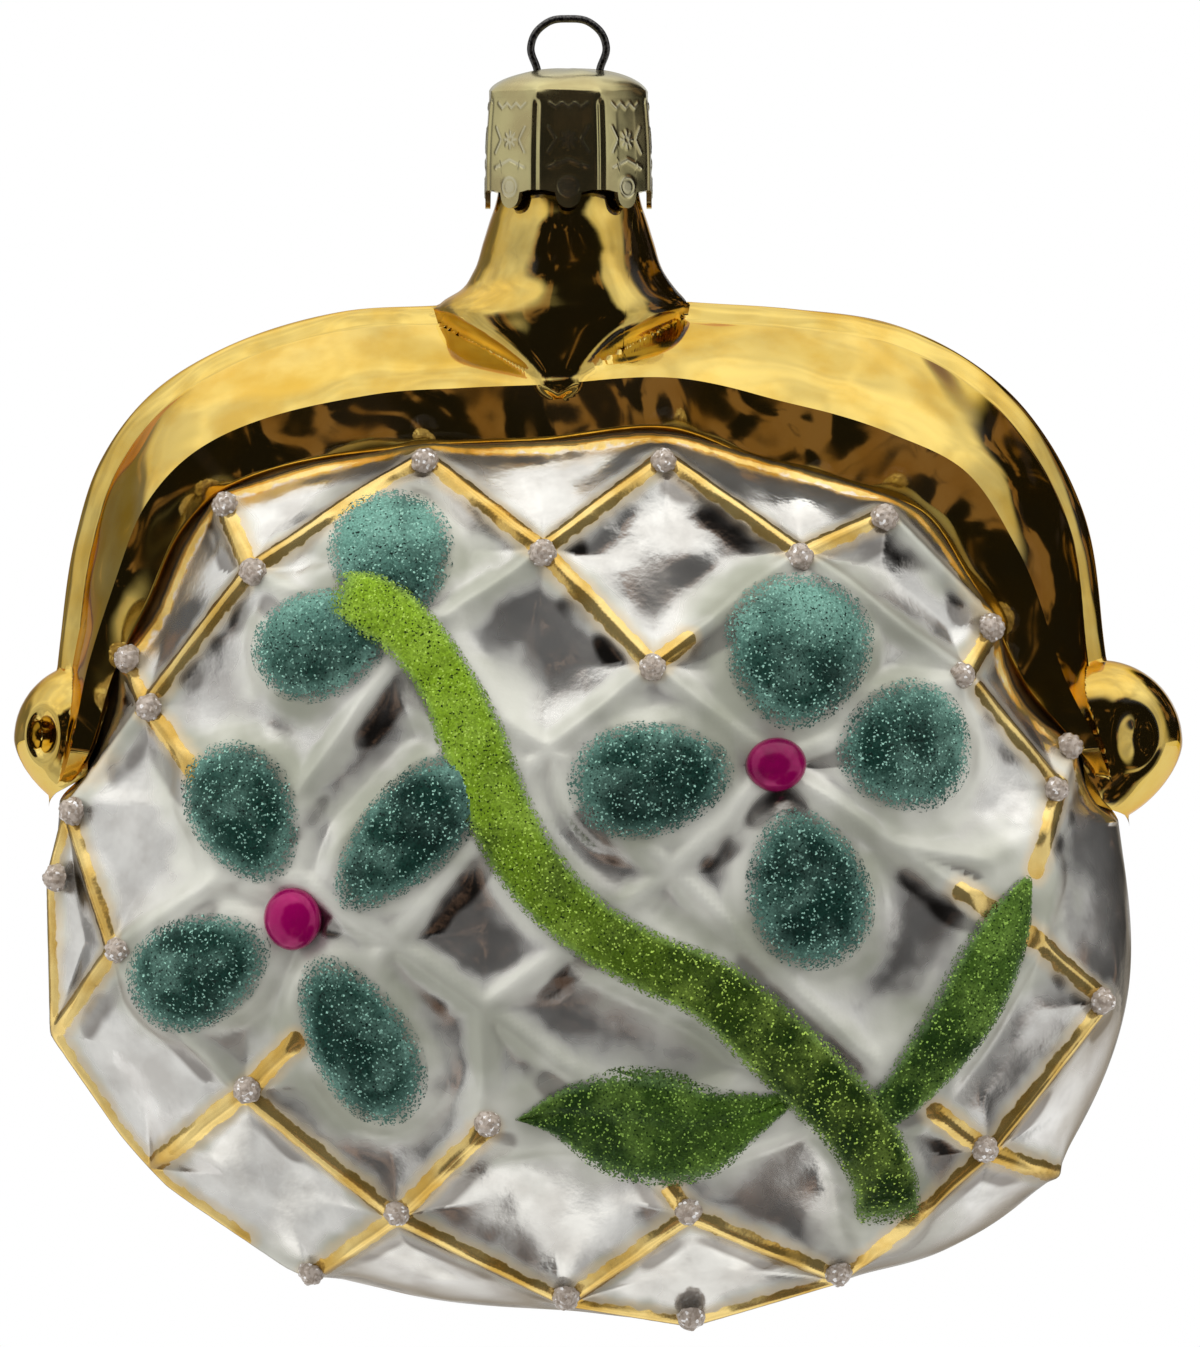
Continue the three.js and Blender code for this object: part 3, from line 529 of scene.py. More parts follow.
    def metalwork(self, u: Array, v: Array) -> Array:
        """Half thickness of frame, knobs and neck together, the neck flowing into the frame.

        Args:
            u: places to the right.
            v: places up.

        Returns:
            The half thickness.
        """
        band, neck = self.clasp(u, v), self.neck(u, v)
        blend = np.minimum(self.neck_blend, (band + neck) / 2)
        near = np.clip(blend - np.abs(band - neck), 0.0, None)
        joined = np.maximum(band, neck) + near**2 / (4 * np.maximum(blend, TINY))
        return np.maximum(joined, self.knob(u, v))

    def glass(self, u: Array, v: Array) -> Array:
        """Half thickness of the whole ornament."""
        return np.maximum(self.pouch(u, v), self.metalwork(u, v))

    def valley_radius(self, angle: Array) -> Array:
        """Radius at which the pouch dips under the frame, the outline's below the knobs.

        Args:
            angle: directions from the centre in radians.

        Returns:
            The radii in millimetres.
        """
        found = self.outline(angle)
        for inwards in np.linspace(0.0, self.valley_reach, self.valley_steps):
            tried = self.outline(angle) - inwards
            u, v = tried * np.cos(angle), tried * np.sin(angle)
            found = np.where(self.metalwork(u, v) >= self.pouch(u, v), tried, found)
        return found

    def place(self, u: Array, v: Array, y: Array) -> Array:
        """Places in metres in the shared frame."""
        return np.stack([u + self.centre_x, y, v + self.centre_z], axis=-1) * MM

    def on_glass(self, u: Array, v: Array, side: Side) -> tuple[Array, Array]:
        """Places on the glass and the ways out of it.

        Args:
            u: places to the right of the centre.
            v: places above the centre.
            side: the face of the purse.

        Returns:
            Places in metres and unit vectors.
        """
        u, v = np.asarray(u, dtype=float), np.asarray(v, dtype=float)
        edge = self.rim_keep * self.outline(np.arctan2(v, u))
        keep = np.minimum(1.0, edge / np.maximum(np.hypot(u, v), TINY))
        u, v = u * keep, v * keep
        step = self.slope_step
        slope_u = (self.glass(u + step, v) - self.glass(u - step, v)) / (2 * step)
        slope_v = (self.glass(u, v + step) - self.glass(u, v - step)) / (2 * step)
        out = np.stack([-slope_u, np.full_like(u, float(side.value)), -slope_v], axis=-1)
        out /= np.linalg.norm(out, axis=-1, keepdims=True)
        return self.place(u, v, side.value * self.glass(u, v)), out


CROSSINGS = {
    "topLeft": (-12.6, 28.2), "topRight": (5.9, 28.2), "crownMid": (-3.5, 21.0),
    "crownRight": (16.4, 20.7), "shoulderRight": (23.0, 23.8), "shoulderLeft": (-28.2, 24.8),
    "upperLeft": (-26.0, 19.5), "upperMid": (5.0, 12.1), "cornerRight": (31.4, 15.2),
    "innerRight": (29.1, 11.5), "cornerLeft": (-35.8, 12.8), "innerLeft": (-34.1, 9.0),
    "hipRight": (37.4, 6.1), "hipRightLow": (36.4, 2.7), "hipLeft": (-40.1, 0.9),
    "hipLeftLow": (-41.4, -4.2), "budFoot": (-14.6, 12.9), "stemTop": (-3.1, 5.7),
    "berryRight": (14.5, 4.5), "midRight": (23.6, -1.8), "lowRight": (34.7, -9.2),
    "edgeRight": (40.0, -13.8), "leftMid": (-25.3, -2.2), "leftLow": (-36.5, -9.8),
    "edgeLeft": (-41.1, -16.2), "heart": (-14.9, -9.2), "stemMid": (6.4, -3.8),
    "stemLow": (15.7, -12.7), "stemFoot": (23.0, -19.3), "footRight": (30.8, -25.3),
    "footEdge": (36.4, -27.3), "leafTop": (-8.0, -14.2), "leafMid": (0.9, -20.8),
    "leafTip": (-7.7, -23.2), "baseMid": (7.8, -30.1), "baseRight": (19.5, -35.1),
    "baseLeft": (-26.4, -20.7), "baseCentre": (-14.8, -30.3), "bottomMid": (-1.7, -36.9),
    "bottomRight": (8.0, -38.5), "cornerLow": (-33.9, -26.7), "bottomLeft": (-21.5, -35.1),
    "sideRight": (34.3, -3.6),
}
RIDGE_LINES = [
    "topLeft crownMid upperMid berryRight midRight lowRight edgeRight",
    "topRight crownRight innerRight hipRightLow",
    "shoulderRight cornerRight",
    "shoulderLeft upperLeft budFoot stemTop stemMid stemLow stemFoot footRight footEdge",
    "innerLeft leftMid heart leafTop leafMid baseMid baseRight",
    "hipLeft leftLow baseLeft baseCentre bottomMid",
    "edgeLeft cornerLow bottomLeft",
    "topRight crownMid budFoot leftMid leftLow edgeLeft",
    "topLeft upperLeft innerLeft hipLeft",
    "shoulderRight crownRight upperMid stemTop heart baseLeft cornerLow",
    "cornerRight innerRight berryRight stemMid leafTop leafTip baseCentre bottomLeft",
    "hipRight hipRightLow sideRight midRight",
    "sideRight lowRight stemFoot",
    "edgeRight footRight baseRight bottomRight",
    "cornerLeft innerLeft",
    "baseMid bottomMid bottomRight",
    "hipLeft hipLeftLow edgeLeft",
]
# Ridges that are lacquered all along, and those where only a share of the way from the first crossing is
GOLD_LINES = [
    "topLeft crownMid topRight crownRight shoulderRight", "crownMid upperMid",
    "topLeft upperLeft innerLeft", "shoulderLeft upperLeft", "cornerLeft innerLeft", "cornerRight innerRight",
    "hipRightLow sideRight", "hipLeft leftLow edgeLeft cornerLow", "hipLeft hipLeftLow edgeLeft",
    "baseLeft cornerLow", "baseLeft baseCentre bottomMid baseMid baseRight footRight edgeRight",
    "baseCentre leafTip", "baseCentre bottomLeft", "footRight footEdge", "bottomMid bottomRight baseRight",
]
GOLD_ENDS = [
    ("upperMid", "crownRight", 0.22), ("innerLeft", "leftMid", 0.5), ("hipRightLow", "innerRight", 0.85),
    ("lowRight", "midRight", 0.55), ("baseLeft", "heart", 0.35), ("baseMid", "leafMid", 0.2),
    ("footRight", "stemFoot", 0.55), ("edgeRight", "lowRight", 0.9), ("cornerLow", "bottomLeft", 0.6),
]
BEADED = [
    "topLeft", "topRight", "crownMid", "crownRight", "shoulderRight", "shoulderLeft", "upperLeft",
    "upperMid", "cornerRight", "innerRight", "cornerLeft", "innerLeft", "hipRight", "hipRightLow",
    "hipLeft", "hipLeftLow", "leftLow", "baseLeft", "leafTip", "baseCentre", "bottomLeft", "baseMid",
    "bottomMid", "bottomRight", "baseRight", "footRight", "edgeRight",
]


class Petal(NamedTuple):
    """A petal or berry in millimetres from the purse's centre, and which way its outer end points."""

    u: float
    v: float
    half_length: float
    half_width: float
    degrees: float


PETALS = {
    "bud_petal_top": Petal(-15.0, 20.3, 4.7, 4.5, 100),
    "bud_petal_side": Petal(-20.2, 13.8, 5.2, 3.9, 200),
    "left_petal_top": Petal(-26.3, 0.8, 5.4, 3.9, 115),
    "left_petal_right": Petal(-13.8, -0.8, 7.1, 3.5, 47),
    "left_petal_side": Petal(-29.7, -11.2, 5.3, 4.0, 205),
    "left_petal_bottom": Petal(-17.5, -16.5, 6.7, 3.7, 300),
    "right_petal_top": Petal(16.0, 13.1, 5.6, 5.3, 83),
    "right_petal_side": Petal(24.1, 5.8, 4.8, 4.8, 12),
    "right_petal_bottom": Petal(16.8, -5.0, 5.9, 4.5, 285),
    "right_petal_left": Petal(4.8, 3.4, 6.0, 4.2, 188),
}
BERRIES = {"left_berry": Petal(-22.6, -7.3, 2.4, 2.15, 90), "right_berry": Petal(14.4, 4.5, 2.3, 2.1, 0)}
# Places and half widths of each band of glitter from its start to its end
RUNS = {
    "stem": [
        (-19.2, 17.4, 2.0), (-16.4, 16.4, 2.6), (-13.5, 14.3, 2.4), (-11.0, 11.0, 2.3), (-8.8, 6.3, 2.6),
        (-6.8, 0.9, 2.6), (-4.1, -3.8, 2.5), (0.2, -8.0, 2.3), (4.8, -10.6, 2.3), (9.5, -12.7, 2.5),
        (13.7, -16.2, 2.8), (17.6, -19.9, 2.9), (20.9, -23.5, 2.9), (22.6, -27.0, 2.9), (23.1, -30.3, 3.3),
    ],
    "side_shoot": [
        (21.9, -22.6, 2.0), (24.2, -20.4, 2.0), (26.1, -18.1, 2.2), (28.5, -14.8, 2.4), (30.4, -11.1, 2.4),
        (32.1, -7.5, 1.9), (33.6, -4.1, 0.6),
    ],
    "leaf": [
        (-5.6, -22.6, 0.2), (-2.2, -22.2, 2.3), (1.7, -22.7, 3.9), (5.6, -23.3, 4.2),
        (8.7, -23.4, 3.7), (11.4, -22.6, 2.6), (13.6, -21.8, 1.8), (15.6, -21.0, 1.4),
    ],
}


def steps_of(lines: list[str]) -> list[tuple[str, str]]:
    """The two crossings of each step along these lines."""
    return [step for line in lines for step in zip(line.split()[:-1], line.split()[1:])]


def along_run(run: list[tuple[float, float, float]], t: Array) -> Array:
    """A smooth curve through a run's points.

    Args:
        run: centre places and half widths.
        t: shares of its length.

    Returns:
        One place and half width a share.
    """
    points = np.array(run)
    along = lengths_along(points[:, :2])
    knots = along / along[-1]
    return through(knots, points, np.gradient(points, knots, axis=0), t)


def nearest_on_path(points: Array, path: Array, reach: float) -> tuple[Array, Array]:
    """Distance from each point to a path in space, past the reach only its bound.

    Args:
        points: places.
        path: the path's corners.
        reach: how far a distance matters.

    Returns:
        One distance a point, never over the reach, and how far above the point the path is there.
    """
    distance, above = np.full(len(points), reach), np.zeros(len(points))
    low, high = path.min(axis=0) - reach, path.max(axis=0) + reach
    near = np.flatnonzero(np.all((points > low) & (points < high), axis=1))
    if not len(near):
        return distance, above
    close = points[near]
    best, rise = distance[near], above[near]
    for start, end in zip(path[:-1], path[1:]):
        way = end - start
        share = np.clip((close - start) @ way / max(float(way @ way), 1e-18), 0.0, 1.0)
        gap = start + share[:, None] * way - close
        length = np.linalg.norm(gap, axis=1)
        rise = np.where(length < best, gap[:, 2], rise)
        best = np.minimum(best, length)
    distance[near], above[near] = best, rise
    return distance, above


# Shader groups that several finishes share


class NodeTree:
    """A short way to add nodes to a tree and join them."""

    def __init__(self, tree: Tree) -> None:
        """Keep the tree."""
        self.tree = tree

    def add(self, kind: str, **settings: object) -> bpy.types.Node:
        """Add a node.

        Args:
            kind: its type.
            settings: its properties.

        Returns:
            The node.
        """
        node = self.tree.nodes.new(kind)
        for key, value in settings.items():
            setattr(node, key, value)
        return node

    def join(self, source: Source, target: Socket) -> None:
        """Link an output to an input, or set the input to a number or a colour.

        Args:
            source: an output, a number or a colour.
            target: the input.
        """
        if isinstance(source, Socket):
            self.tree.links.new(source, target)
        elif target.type == "RGBA":
            target.default_value = (*source, 1.0)
        else:
            target.default_value = source

    def math(self, operation: str, first: Source, second: Source) -> Socket:
        """A Math node.

        Args:
            operation: what it does.
            first: its first input.
            second: its second input.

        Returns:
            The result.
        """
        node = self.add("ShaderNodeMath", operation=operation)
        self.join(first, node.inputs[0])
        self.join(second, node.inputs[1])
        return node.outputs[0]

    def vector(self, operation: str, first: Source, second: Source) -> Socket:
        """A Vector Math node, with the factor as second input where it scales.

        Args:
            operation: what it does.
            first: its first input.
            second: its second input.

        Returns:
            The vector, or the number where the operation gives one.
        """
        node = self.add("ShaderNodeVectorMath", operation=operation)
        self.join(first, node.inputs[0])
        self.join(second, node.inputs["Scale" if operation == "SCALE" else 1])
        return node.outputs["Value" if operation == "DOT_PRODUCT" else "Vector"]

    def span(self, value: Socket, low: float, high: float, start: float = 0.0,
             end: float = 1.0) -> Socket:
        """A smooth step of a value from one range to another.

        Args:
            value: the value.
            low: where the step starts.
            high: where the step ends.
            start: the result up to low.
            end: the result from high on.

        Returns:
            The result.
        """
        node = self.add("ShaderNodeMapRange", interpolation_type="SMOOTHSTEP")
        for socket, given in zip(node.inputs[:5], (value, low, high, start, end)):
            self.join(given, socket)
        return node.outputs["Result"]

    def mix(self, factor: Source, first: Source, second: Source) -> Socket:
        """A mix of two colours.

        Args:
            factor: how much of the second there is.
            first: one colour.
            second: the other colour.

        Returns:
            The mixed colour.
        """
        node = self.add("ShaderNodeMix", data_type="RGBA")
        for place, given in ((0, factor), (6, first), (7, second)):
            self.join(given, node.inputs[place])
        return node.outputs[2]

    def fade(self, factor: Source, first: Source, second: Source) -> Socket:
        """A mix of two numbers.

        Args:
            factor: how much of the second there is.
            first: one number.
            second: the other number.

        Returns:
            The mixed number.
        """
        node = self.add("ShaderNodeMix", data_type="FLOAT")
        for place, given in ((0, factor), (2, first), (3, second)):
            self.join(given, node.inputs[place])
        return node.outputs[0]

    def place(self) -> Socket:
        """The place on the piece, in object coordinates."""
        return self.add("ShaderNodeTexCoord").outputs["Object"]

    def noise(self, scale: Source, detail: float,
              vector: Optional[Socket] = None) -> Socket:
        """A noise value.

        Args:
            scale: how fine it is.
            detail: how many finer layers it has.
            vector: where it is read, the place on the piece if not given.

        Returns:
            The value, from 0 to 1.
        """
        node = self.add("ShaderNodeTexNoise")
        self.join(scale, node.inputs["Scale"])
        self.join(detail, node.inputs["Detail"])
        self.join(self.place() if vector is None else vector, node.inputs["Vector"])
        return node.outputs["Fac"]

    def drift(self, scale: float, detail: float, reach: float) -> Socket:
        """A number that strays over the piece, at most this far up and down."""
        return self.span(self.noise(scale, detail), 0.2, 0.8, -reach, reach)

    def cells(self, scale: Source) -> tuple[Socket, Sockets]:
        """Grains that each have a random colour.

        Args:
            scale: grains a metre.

        Returns:
            The colour, and its three channels.
        """
        grains = self.add("ShaderNodeTexVoronoi")
        self.join(self.place(), grains.inputs["Vector"])
        self.join(scale, grains.inputs["Scale"])
        split = self.add("ShaderNodeSeparateColor")
        self.join(grains.outputs["Color"], split.inputs[0])
        return grains.outputs["Color"], split.outputs

    def group(self, name: str, make: Callable[[], Tree]) -> bpy.types.Node:
        """A shared group's node.

        Args:
            name: the group's name.
            make: what builds it at its first use.

        Returns:
            The node.
        """
        node = self.add("ShaderNodeGroup")
        node.node_tree = bpy.data.node_groups.get(name) or make()
        return node

    def attribute(self, name: str) -> Socket:
        """A number kept on the piece's vertices."""
        return self.add("ShaderNodeAttribute", attribute_name=name).outputs["Fac"]


def new_group(name: str, inputs: dict[str, object], outputs: dict[str, str]) -> Tree:
    """An empty shader group with named sockets.

    Args:
        name: the group's name.
        inputs: input names with a default number or colour.
        outputs: output names with a socket type.

    Returns:
        The group.
    """
    group = bpy.data.node_groups.new(name, "ShaderNodeTree")
    for key, value in inputs.items():
        kind = "NodeSocketFloat" if isinstance(value, (int, float)) else "NodeSocketColor"
        socket = group.interface.new_socket(key, in_out="INPUT", socket_type=kind)
        socket.default_value = value if isinstance(value, (int, float)) else (*value, 1.0)
    for key, kind in outputs.items():
        group.interface.new_socket(key, in_out="OUTPUT", socket_type=kind)
    return group


def open_group(group: Tree) -> tuple[NodeTree, Sockets, Sockets]:
    """A group's tree, the sockets that it is given and those that it gives."""
    t = NodeTree(group)
    return t, t.add("NodeGroupInput").outputs, t.add("NodeGroupOutput").inputs


def glitter_group() -> Tree:
    """Flakes of glitter: each has its own shade and tilt, the brightest are painted glints, and they thin out
    where the cover does.

    Returns:
        The group.
    """
    group = new_group(
        "glitter_flakes",
        {"Base": (0.2, 0.4, 0.3), "Bright": (0.7, 0.9, 0.8), "Dark": (0.02, 0.05, 0.04),
         "Flakes per metre": 7600.0, "Tilt": 0.5, "Cover": 1.0},
        {"Color": "NodeSocketColor", "Roughness": "NodeSocketFloat", "Normal": "NodeSocketVector",
         "Alpha": "NodeSocketFloat"},
    )
    t, given, result = open_group(group)
    colour, (shade, lightness, polish) = t.cells(given["Flakes per metre"])
    # Painted glints: the brightest flakes take the Bright colour whatever light reaches them.
    bright = t.span(shade, 0.89, 0.995)
    dark = t.math("MULTIPLY", t.span(shade, 0.10, 0.03), t.span(given["Cover"], 0.4, 1.2))
    cloud = t.span(t.noise(300.0, 3.0), 0.40, 0.75, 0.0, 0.25)
    pools = t.span(t.noise(210.0, 3.0), 0.48, 0.72, 0.0, 0.6)
    toned = t.mix(pools, t.mix(cloud, given["Base"], given["Bright"]), given["Dark"])
    shaded = t.add("ShaderNodeHueSaturation")
    t.join(toned, shaded.inputs["Color"])
    t.join(t.span(lightness, 0.0, 1.0, 0.78, 1.22), shaded.inputs["Value"])
    lit = t.mix(bright, shaded.outputs[0], given["Bright"])
    t.join(t.mix(dark, lit, given["Dark"]), result["Color"])
    t.join(t.span(polish, 0.0, 1.0, 0.28, 0.6), result["Roughness"])
    lean = t.vector("SUBTRACT", colour, (0.5, 0.5, 0.5))
    lean = t.vector("SCALE", lean, t.math("MULTIPLY", given["Tilt"], t.fade(bright, 0.7, 1.8)))
    turned = t.vector("ADD", t.add("ShaderNodeNewGeometry").outputs["Normal"], lean)
    unit = t.add("ShaderNodeVectorMath", operation="NORMALIZE")
    t.join(turned, unit.inputs[0])
    t.join(unit.outputs[0], result["Normal"])
    t.join(t.math("GREATER_THAN", given["Cover"], lightness), result["Alpha"])
    return group


def blown_group() -> Tree:
    """The slow waves and fine pits of blown glass, as a height, and a mottled mask.

    Returns:
        The group.
    """
    group = new_group(
        "blown_surface",
        {"Waves per metre": 90.0, "Fine share": 0.15},
        {"Height": "NodeSocketFloat", "Mottle": "NodeSocketFloat"},
    )
    t, given, result = open_group(group)
    slow = t.noise(given["Waves per metre"], 1.0)
    pits = t.math("MULTIPLY", t.noise(1400.0, 2.0), given["Fine share"])
    t.join(t.math("ADD", slow, pits), result["Height"])
    t.join(t.span(t.noise(240.0, 4.0), 0.35, 0.7), result["Mottle"])
    return group


@dataclass(frozen=True)
class Waves:
    """How strongly a blown or pressed surface waves, its height in metres."""

    per_metre: float
    fine: float
    height: float
    strength: float

    def add(self, t: NodeTree) -> tuple[Socket, Socket]:
        """Add the waves to a material.

        Args:
            t: the material's nodes.

        Returns:
            The bumped normal and the mottled mask.
        """
        blown = t.group("blown_surface", blown_group)
        blown.inputs["Waves per metre"].default_value = self.per_metre
        blown.inputs["Fine share"].default_value = self.fine
        bump = t.add("ShaderNodeBump")
        bump.inputs["Strength"].default_value = self.strength
        bump.inputs["Distance"].default_value = self.height
        t.join(blown.outputs["Height"], bump.inputs["Height"])
        return bump.outputs["Normal"], blown.outputs["Mottle"]


@dataclass(frozen=True)
class Finish:
    """A finish that is made on its first use and shared after that."""

    name: str

    def material(self) -> bpy.types.Material:
        """The finish as a material.

        Returns:
            The material.
        """
        found = bpy.data.materials.get(self.name)
        if found:
            return found
        material = bpy.data.materials.new(self.name)
        material.use_nodes = True
        self.paint(NodeTree(material.node_tree), material.node_tree.nodes["Principled BSDF"].inputs)
        return material

    def paint(self, t: NodeTree, shader: Sockets) -> None:
        """Join the finish's nodes to the shader's sockets.

        Args:
            t: the material's nodes.
            shader: the Principled shader's sockets.
        """
        raise NotImplementedError


@dataclass(frozen=True)
class GoldLacquer(Finish):
    """Transparent gold lacquer over silvering: a mirror with darker, warmer pools."""

    name: str = "gold_mirror"
    pale: Colour = (0.73, 0.54, 0.145)
    deep: Colour = (0.65, 0.42, 0.07)
    edge: Colour = (0.80, 0.52, 0.18)
    waves: Waves = Waves(95.0, 0.0004, 0.0022, 1.0)

    def paint(self, t: NodeTree, shader: Sockets) -> None:
        """Join the finish's nodes to the shader's sockets.

        Args:
            t: the material's nodes.
            shader: the Principled shader's sockets.
        """
        normal, mottle = self.waves.add(t)
        t.join(t.mix(mottle, self.pale, self.deep), shader["Base Color"])
        t.join(t.span(mottle, 0.0, 1.0, 0.05, 0.10), shader["Roughness"])
        t.join(normal, shader["Normal"])
        shader["Metallic"].default_value = 1.0
        shader["Specular Tint"].default_value = (*self.edge, 1.0)
        shader["Coat Weight"].default_value = 0.5
        shader["Coat Roughness"].default_value = 0.04


@dataclass(frozen=True)
class QuiltedSilver(Finish):
    """Silver mirrors in the diamonds, pearl on the ridges and round the flowers, gold on some ridges, and
    painted shade below the ridges and at the edges that turn away from the camera.

    The edge of each coat says how many millimetres from its ridge or flower it starts and is full.
    """

    name: str = "quilted_silver"
    silver: Colour = (0.86, 0.85, 0.82)
    silver_shade: Colour = (0.66, 0.64, 0.61)
    pearl: Colour = (0.66, 0.66, 0.59)
    pearl_shade: Colour = (0.36, 0.37, 0.30)
    # Painted shade: the dark colour laid just below the ridges in place of a dark reflection there.
    mirror: Colour = (0.34, 0.32, 0.30)
    gold: Colour = (0.93, 0.70, 0.27)
    gold_deep: Colour = (0.68, 0.42, 0.09)
    stain: Colour = (0.72, 0.52, 0.26)
    # Painted shade: the dark colour that the silver turns to where its surface turns away from the camera.
    edge: Colour = (0.26, 0.23, 0.19)
    edge_tint: Colour = (0.50, 0.45, 0.38)
    waves: Waves = Waves(150.0, 0.02, 0.0014, 0.7)
    gold_edge: Range = (0.80, 0.66)
    gold_drift: float = 0.14
    stain_edge: Range = (1.7, 0.7)
    stain_share: float = 0.45
    flower_edge: Range = (4.0, 0.5)
    flower_drift: float = 2.2
    ridge_edge: Range = (2.1, 0.7)
    ridge_drift: float = 0.6
    ridge_share: float = 0.9
    painted_shade_edge: Range = (0.2, 0.62)
    painted_shade_on_pearl: float = 0.45
    painted_edge_turn: Range = (0.40, 0.90)
    painted_edge_share: float = 0.85

    def coats(self, t: NodeTree) -> tuple[Socket, ...]:
        """How much of each coat there is, from 0 to 1.

        Args:
            t: the material's nodes.

        Returns:
            The gold, its stain on the silver, the pearl and the painted shade below the ridges.
        """
        lacquered = t.math("ADD", t.attribute("gold_distance"), t.drift(900.0, 2.0, self.gold_drift))
        gold = t.span(lacquered, *self.gold_edge)
        stain = t.math("MULTIPLY", t.span(lacquered, *self.stain_edge), self.stain_share)
        flower = t.math("ADD", t.attribute("pearl_distance"), t.drift(150.0, 3.0, self.flower_drift))
        ridge = t.math("ADD", t.attribute("ridge_distance"), t.drift(260.0, 2.0, self.ridge_drift))
        ridge = t.span(ridge, *self.ridge_edge, 0.0, self.ridge_share)
        pearl = t.math("MAXIMUM", t.span(flower, *self.flower_edge), ridge)
        # Painted shade: a darker mask just below each ridge, broken up by noise and weaker on the pearl.
        dark = t.math("MULTIPLY", t.attribute("under_ridge"), t.span(t.noise(130.0, 2.0), 0.38, 0.62))
        dark = t.math("MULTIPLY", t.span(dark, *self.painted_shade_edge), t.fade(pearl, 1.0, self.painted_shade_on_pearl))
        return gold, stain, pearl, dark

    def paint(self, t: NodeTree, shader: Sockets) -> None:
        """Join the finish's nodes to the shader's sockets.

        Args:
            t: the material's nodes.
            shader: the Principled shader's sockets.
        """
        normal, mottle = self.waves.add(t)
        gold, stain, pearl, dark = self.coats(t)
        silvered = t.mix(mottle, self.silver, self.silver_shade)
        milky = t.mix(t.span(t.noise(110.0, 3.0), 0.35, 0.65), self.pearl, self.pearl_shade)
        # Painted shade below the ridges darkens the silver and the pearl.
        body = t.mix(dark, t.mix(pearl, silvered, milky), self.mirror)
        coloured = t.mix(gold, t.mix(stain, body, self.stain), t.mix(mottle, self.gold, self.gold_deep))
        # Painted shade: the colour darkens towards the edges that turn away from the camera.
        painted_edge_shade = t.add("ShaderNodeLayerWeight").outputs["Facing"]
        painted_edge_shade = t.span(painted_edge_shade, *self.painted_edge_turn, 0.0, self.painted_edge_share)
        t.join(t.mix(painted_edge_shade, coloured, self.edge), shader["Base Color"])
        shader["Specular Tint"].default_value = (*self.edge_tint, 1.0)
        satin = t.fade(pearl, t.span(t.noise(180.0, 2.0), 0.35, 0.65, 0.12, 0.28), 0.4)
        t.join(t.fade(gold, t.fade(dark, satin, 0.13), 0.16), shader["Roughness"])
        metal = t.fade(dark, t.fade(pearl, 0.9, 0.25), 1.0)
        t.join(t.fade(gold, metal, 0.85), shader["Metallic"])
        t.join(normal, shader["Normal"])


@dataclass(frozen=True)
class Glitter(Finish):
    """Glitter in glue that goes from a start to an end colour and thins out at its rim. On the petals the
    colour is painted light: lighter higher up the purse and on each petal's upper side.
    """

    start: Colour = (0.006, 0.035, 0.025)
    end: Colour = (0.14, 0.31, 0.25)
    bright: Colour = (0.34, 0.62, 0.51)
    dark: Colour = (0.004, 0.015, 0.012)
    dust: Colour = (0.13, 0.27, 0.22)
    change: Range = (0.25, 1.1)

    def paint(self, t: NodeTree, shader: Sockets) -> None:
        """Join the finish's nodes to the shader's sockets.

        Args:
            t: the material's nodes.
            shader: the Principled shader's sockets.
        """
        flakes = t.group("glitter_flakes", glitter_group)
        cover = t.attribute("cover")
        # On the petals this blend is painted light, lighter higher up; on the bands it runs from their start
        # to their end.
        toned = t.mix(t.span(t.attribute("tone"), *self.change), self.start, self.end)
        t.join(t.mix(t.span(cover, 1.6, 0.6, 0.0, 0.6), toned, self.dust), flakes.inputs["Base"])
        t.join(cover, flakes.inputs["Cover"])
        flakes.inputs["Bright"].default_value = (*self.bright, 1.0)
        flakes.inputs["Dark"].default_value = (*self.dark, 1.0)
        t.join(flakes.outputs["Color"], shader["Base Color"])
        t.join(flakes.outputs["Roughness"], shader["Roughness"])
        t.join(flakes.outputs["Normal"], shader["Normal"])
        t.join(flakes.outputs["Alpha"], shader["Alpha"])
        shader["Metallic"].default_value = 0.25
        shader["Specular IOR Level"].default_value = 0.2


@dataclass(frozen=True)
class BerryLacquer(Finish):
    """Magenta lacquer with a deep gloss."""

    name: str = "berry_gloss"
    pale: Colour = (0.34, 0.0, 0.105)
    deep: Colour = (0.16, 0.0, 0.05)
    waves: Waves = Waves(300.0, 0.02, 0.0003, 0.15)

    def paint(self, t: NodeTree, shader: Sockets) -> None:
        """Join the finish's nodes to the shader's sockets.

        Args:
            t: the material's nodes.
            shader: the Principled shader's sockets.
        """
        normal, mottle = self.waves.add(t)
        t.join(t.mix(mottle, self.pale, self.deep), shader["Base Color"])
        t.join(t.span(mottle, 0.0, 1.0, 0.2, 0.3), shader["Roughness"])
        t.join(normal, shader["Normal"])
        shader["Metallic"].default_value = 0.4
        shader["Specular IOR Level"].default_value = 0.2
        shader["Coat Weight"].default_value = 0.45
        shader["Coat Roughness"].default_value = 0.05


@dataclass(frozen=True)
class ClearGrit(Finish):
    """Clear micro-beads in glue, pinkish grey with a few white glints."""

    name: str = "clear_grit"
    shade: Colour = (0.30, 0.24, 0.19)
    pale: Colour = (0.50, 0.43, 0.37)
    glint: Colour = (0.90, 0.88, 0.86)
    grains_per_metre: float = 4200.0

    def paint(self, t: NodeTree, shader: Sockets) -> None:
        """Join the finish's nodes to the shader's sockets.

        Args:
            t: the material's nodes.
            shader: the Principled shader's sockets.
        """
        _, (shade, shine, polish) = t.cells(self.grains_per_metre)
        tint = t.mix(t.span(shade, 0.0, 1.0), self.shade, self.pale)
        # Painted glints: the brightest grains turn white in the base colour whatever the light.
        t.join(t.mix(t.span(shine, 0.88, 0.98), tint, self.glint), shader["Base Color"])
        t.join(t.span(polish, 0.0, 1.0, 0.25, 0.6), shader["Roughness"])
        shader["Metallic"].default_value = 0.1
        shader["Coat Weight"].default_value = 0.3


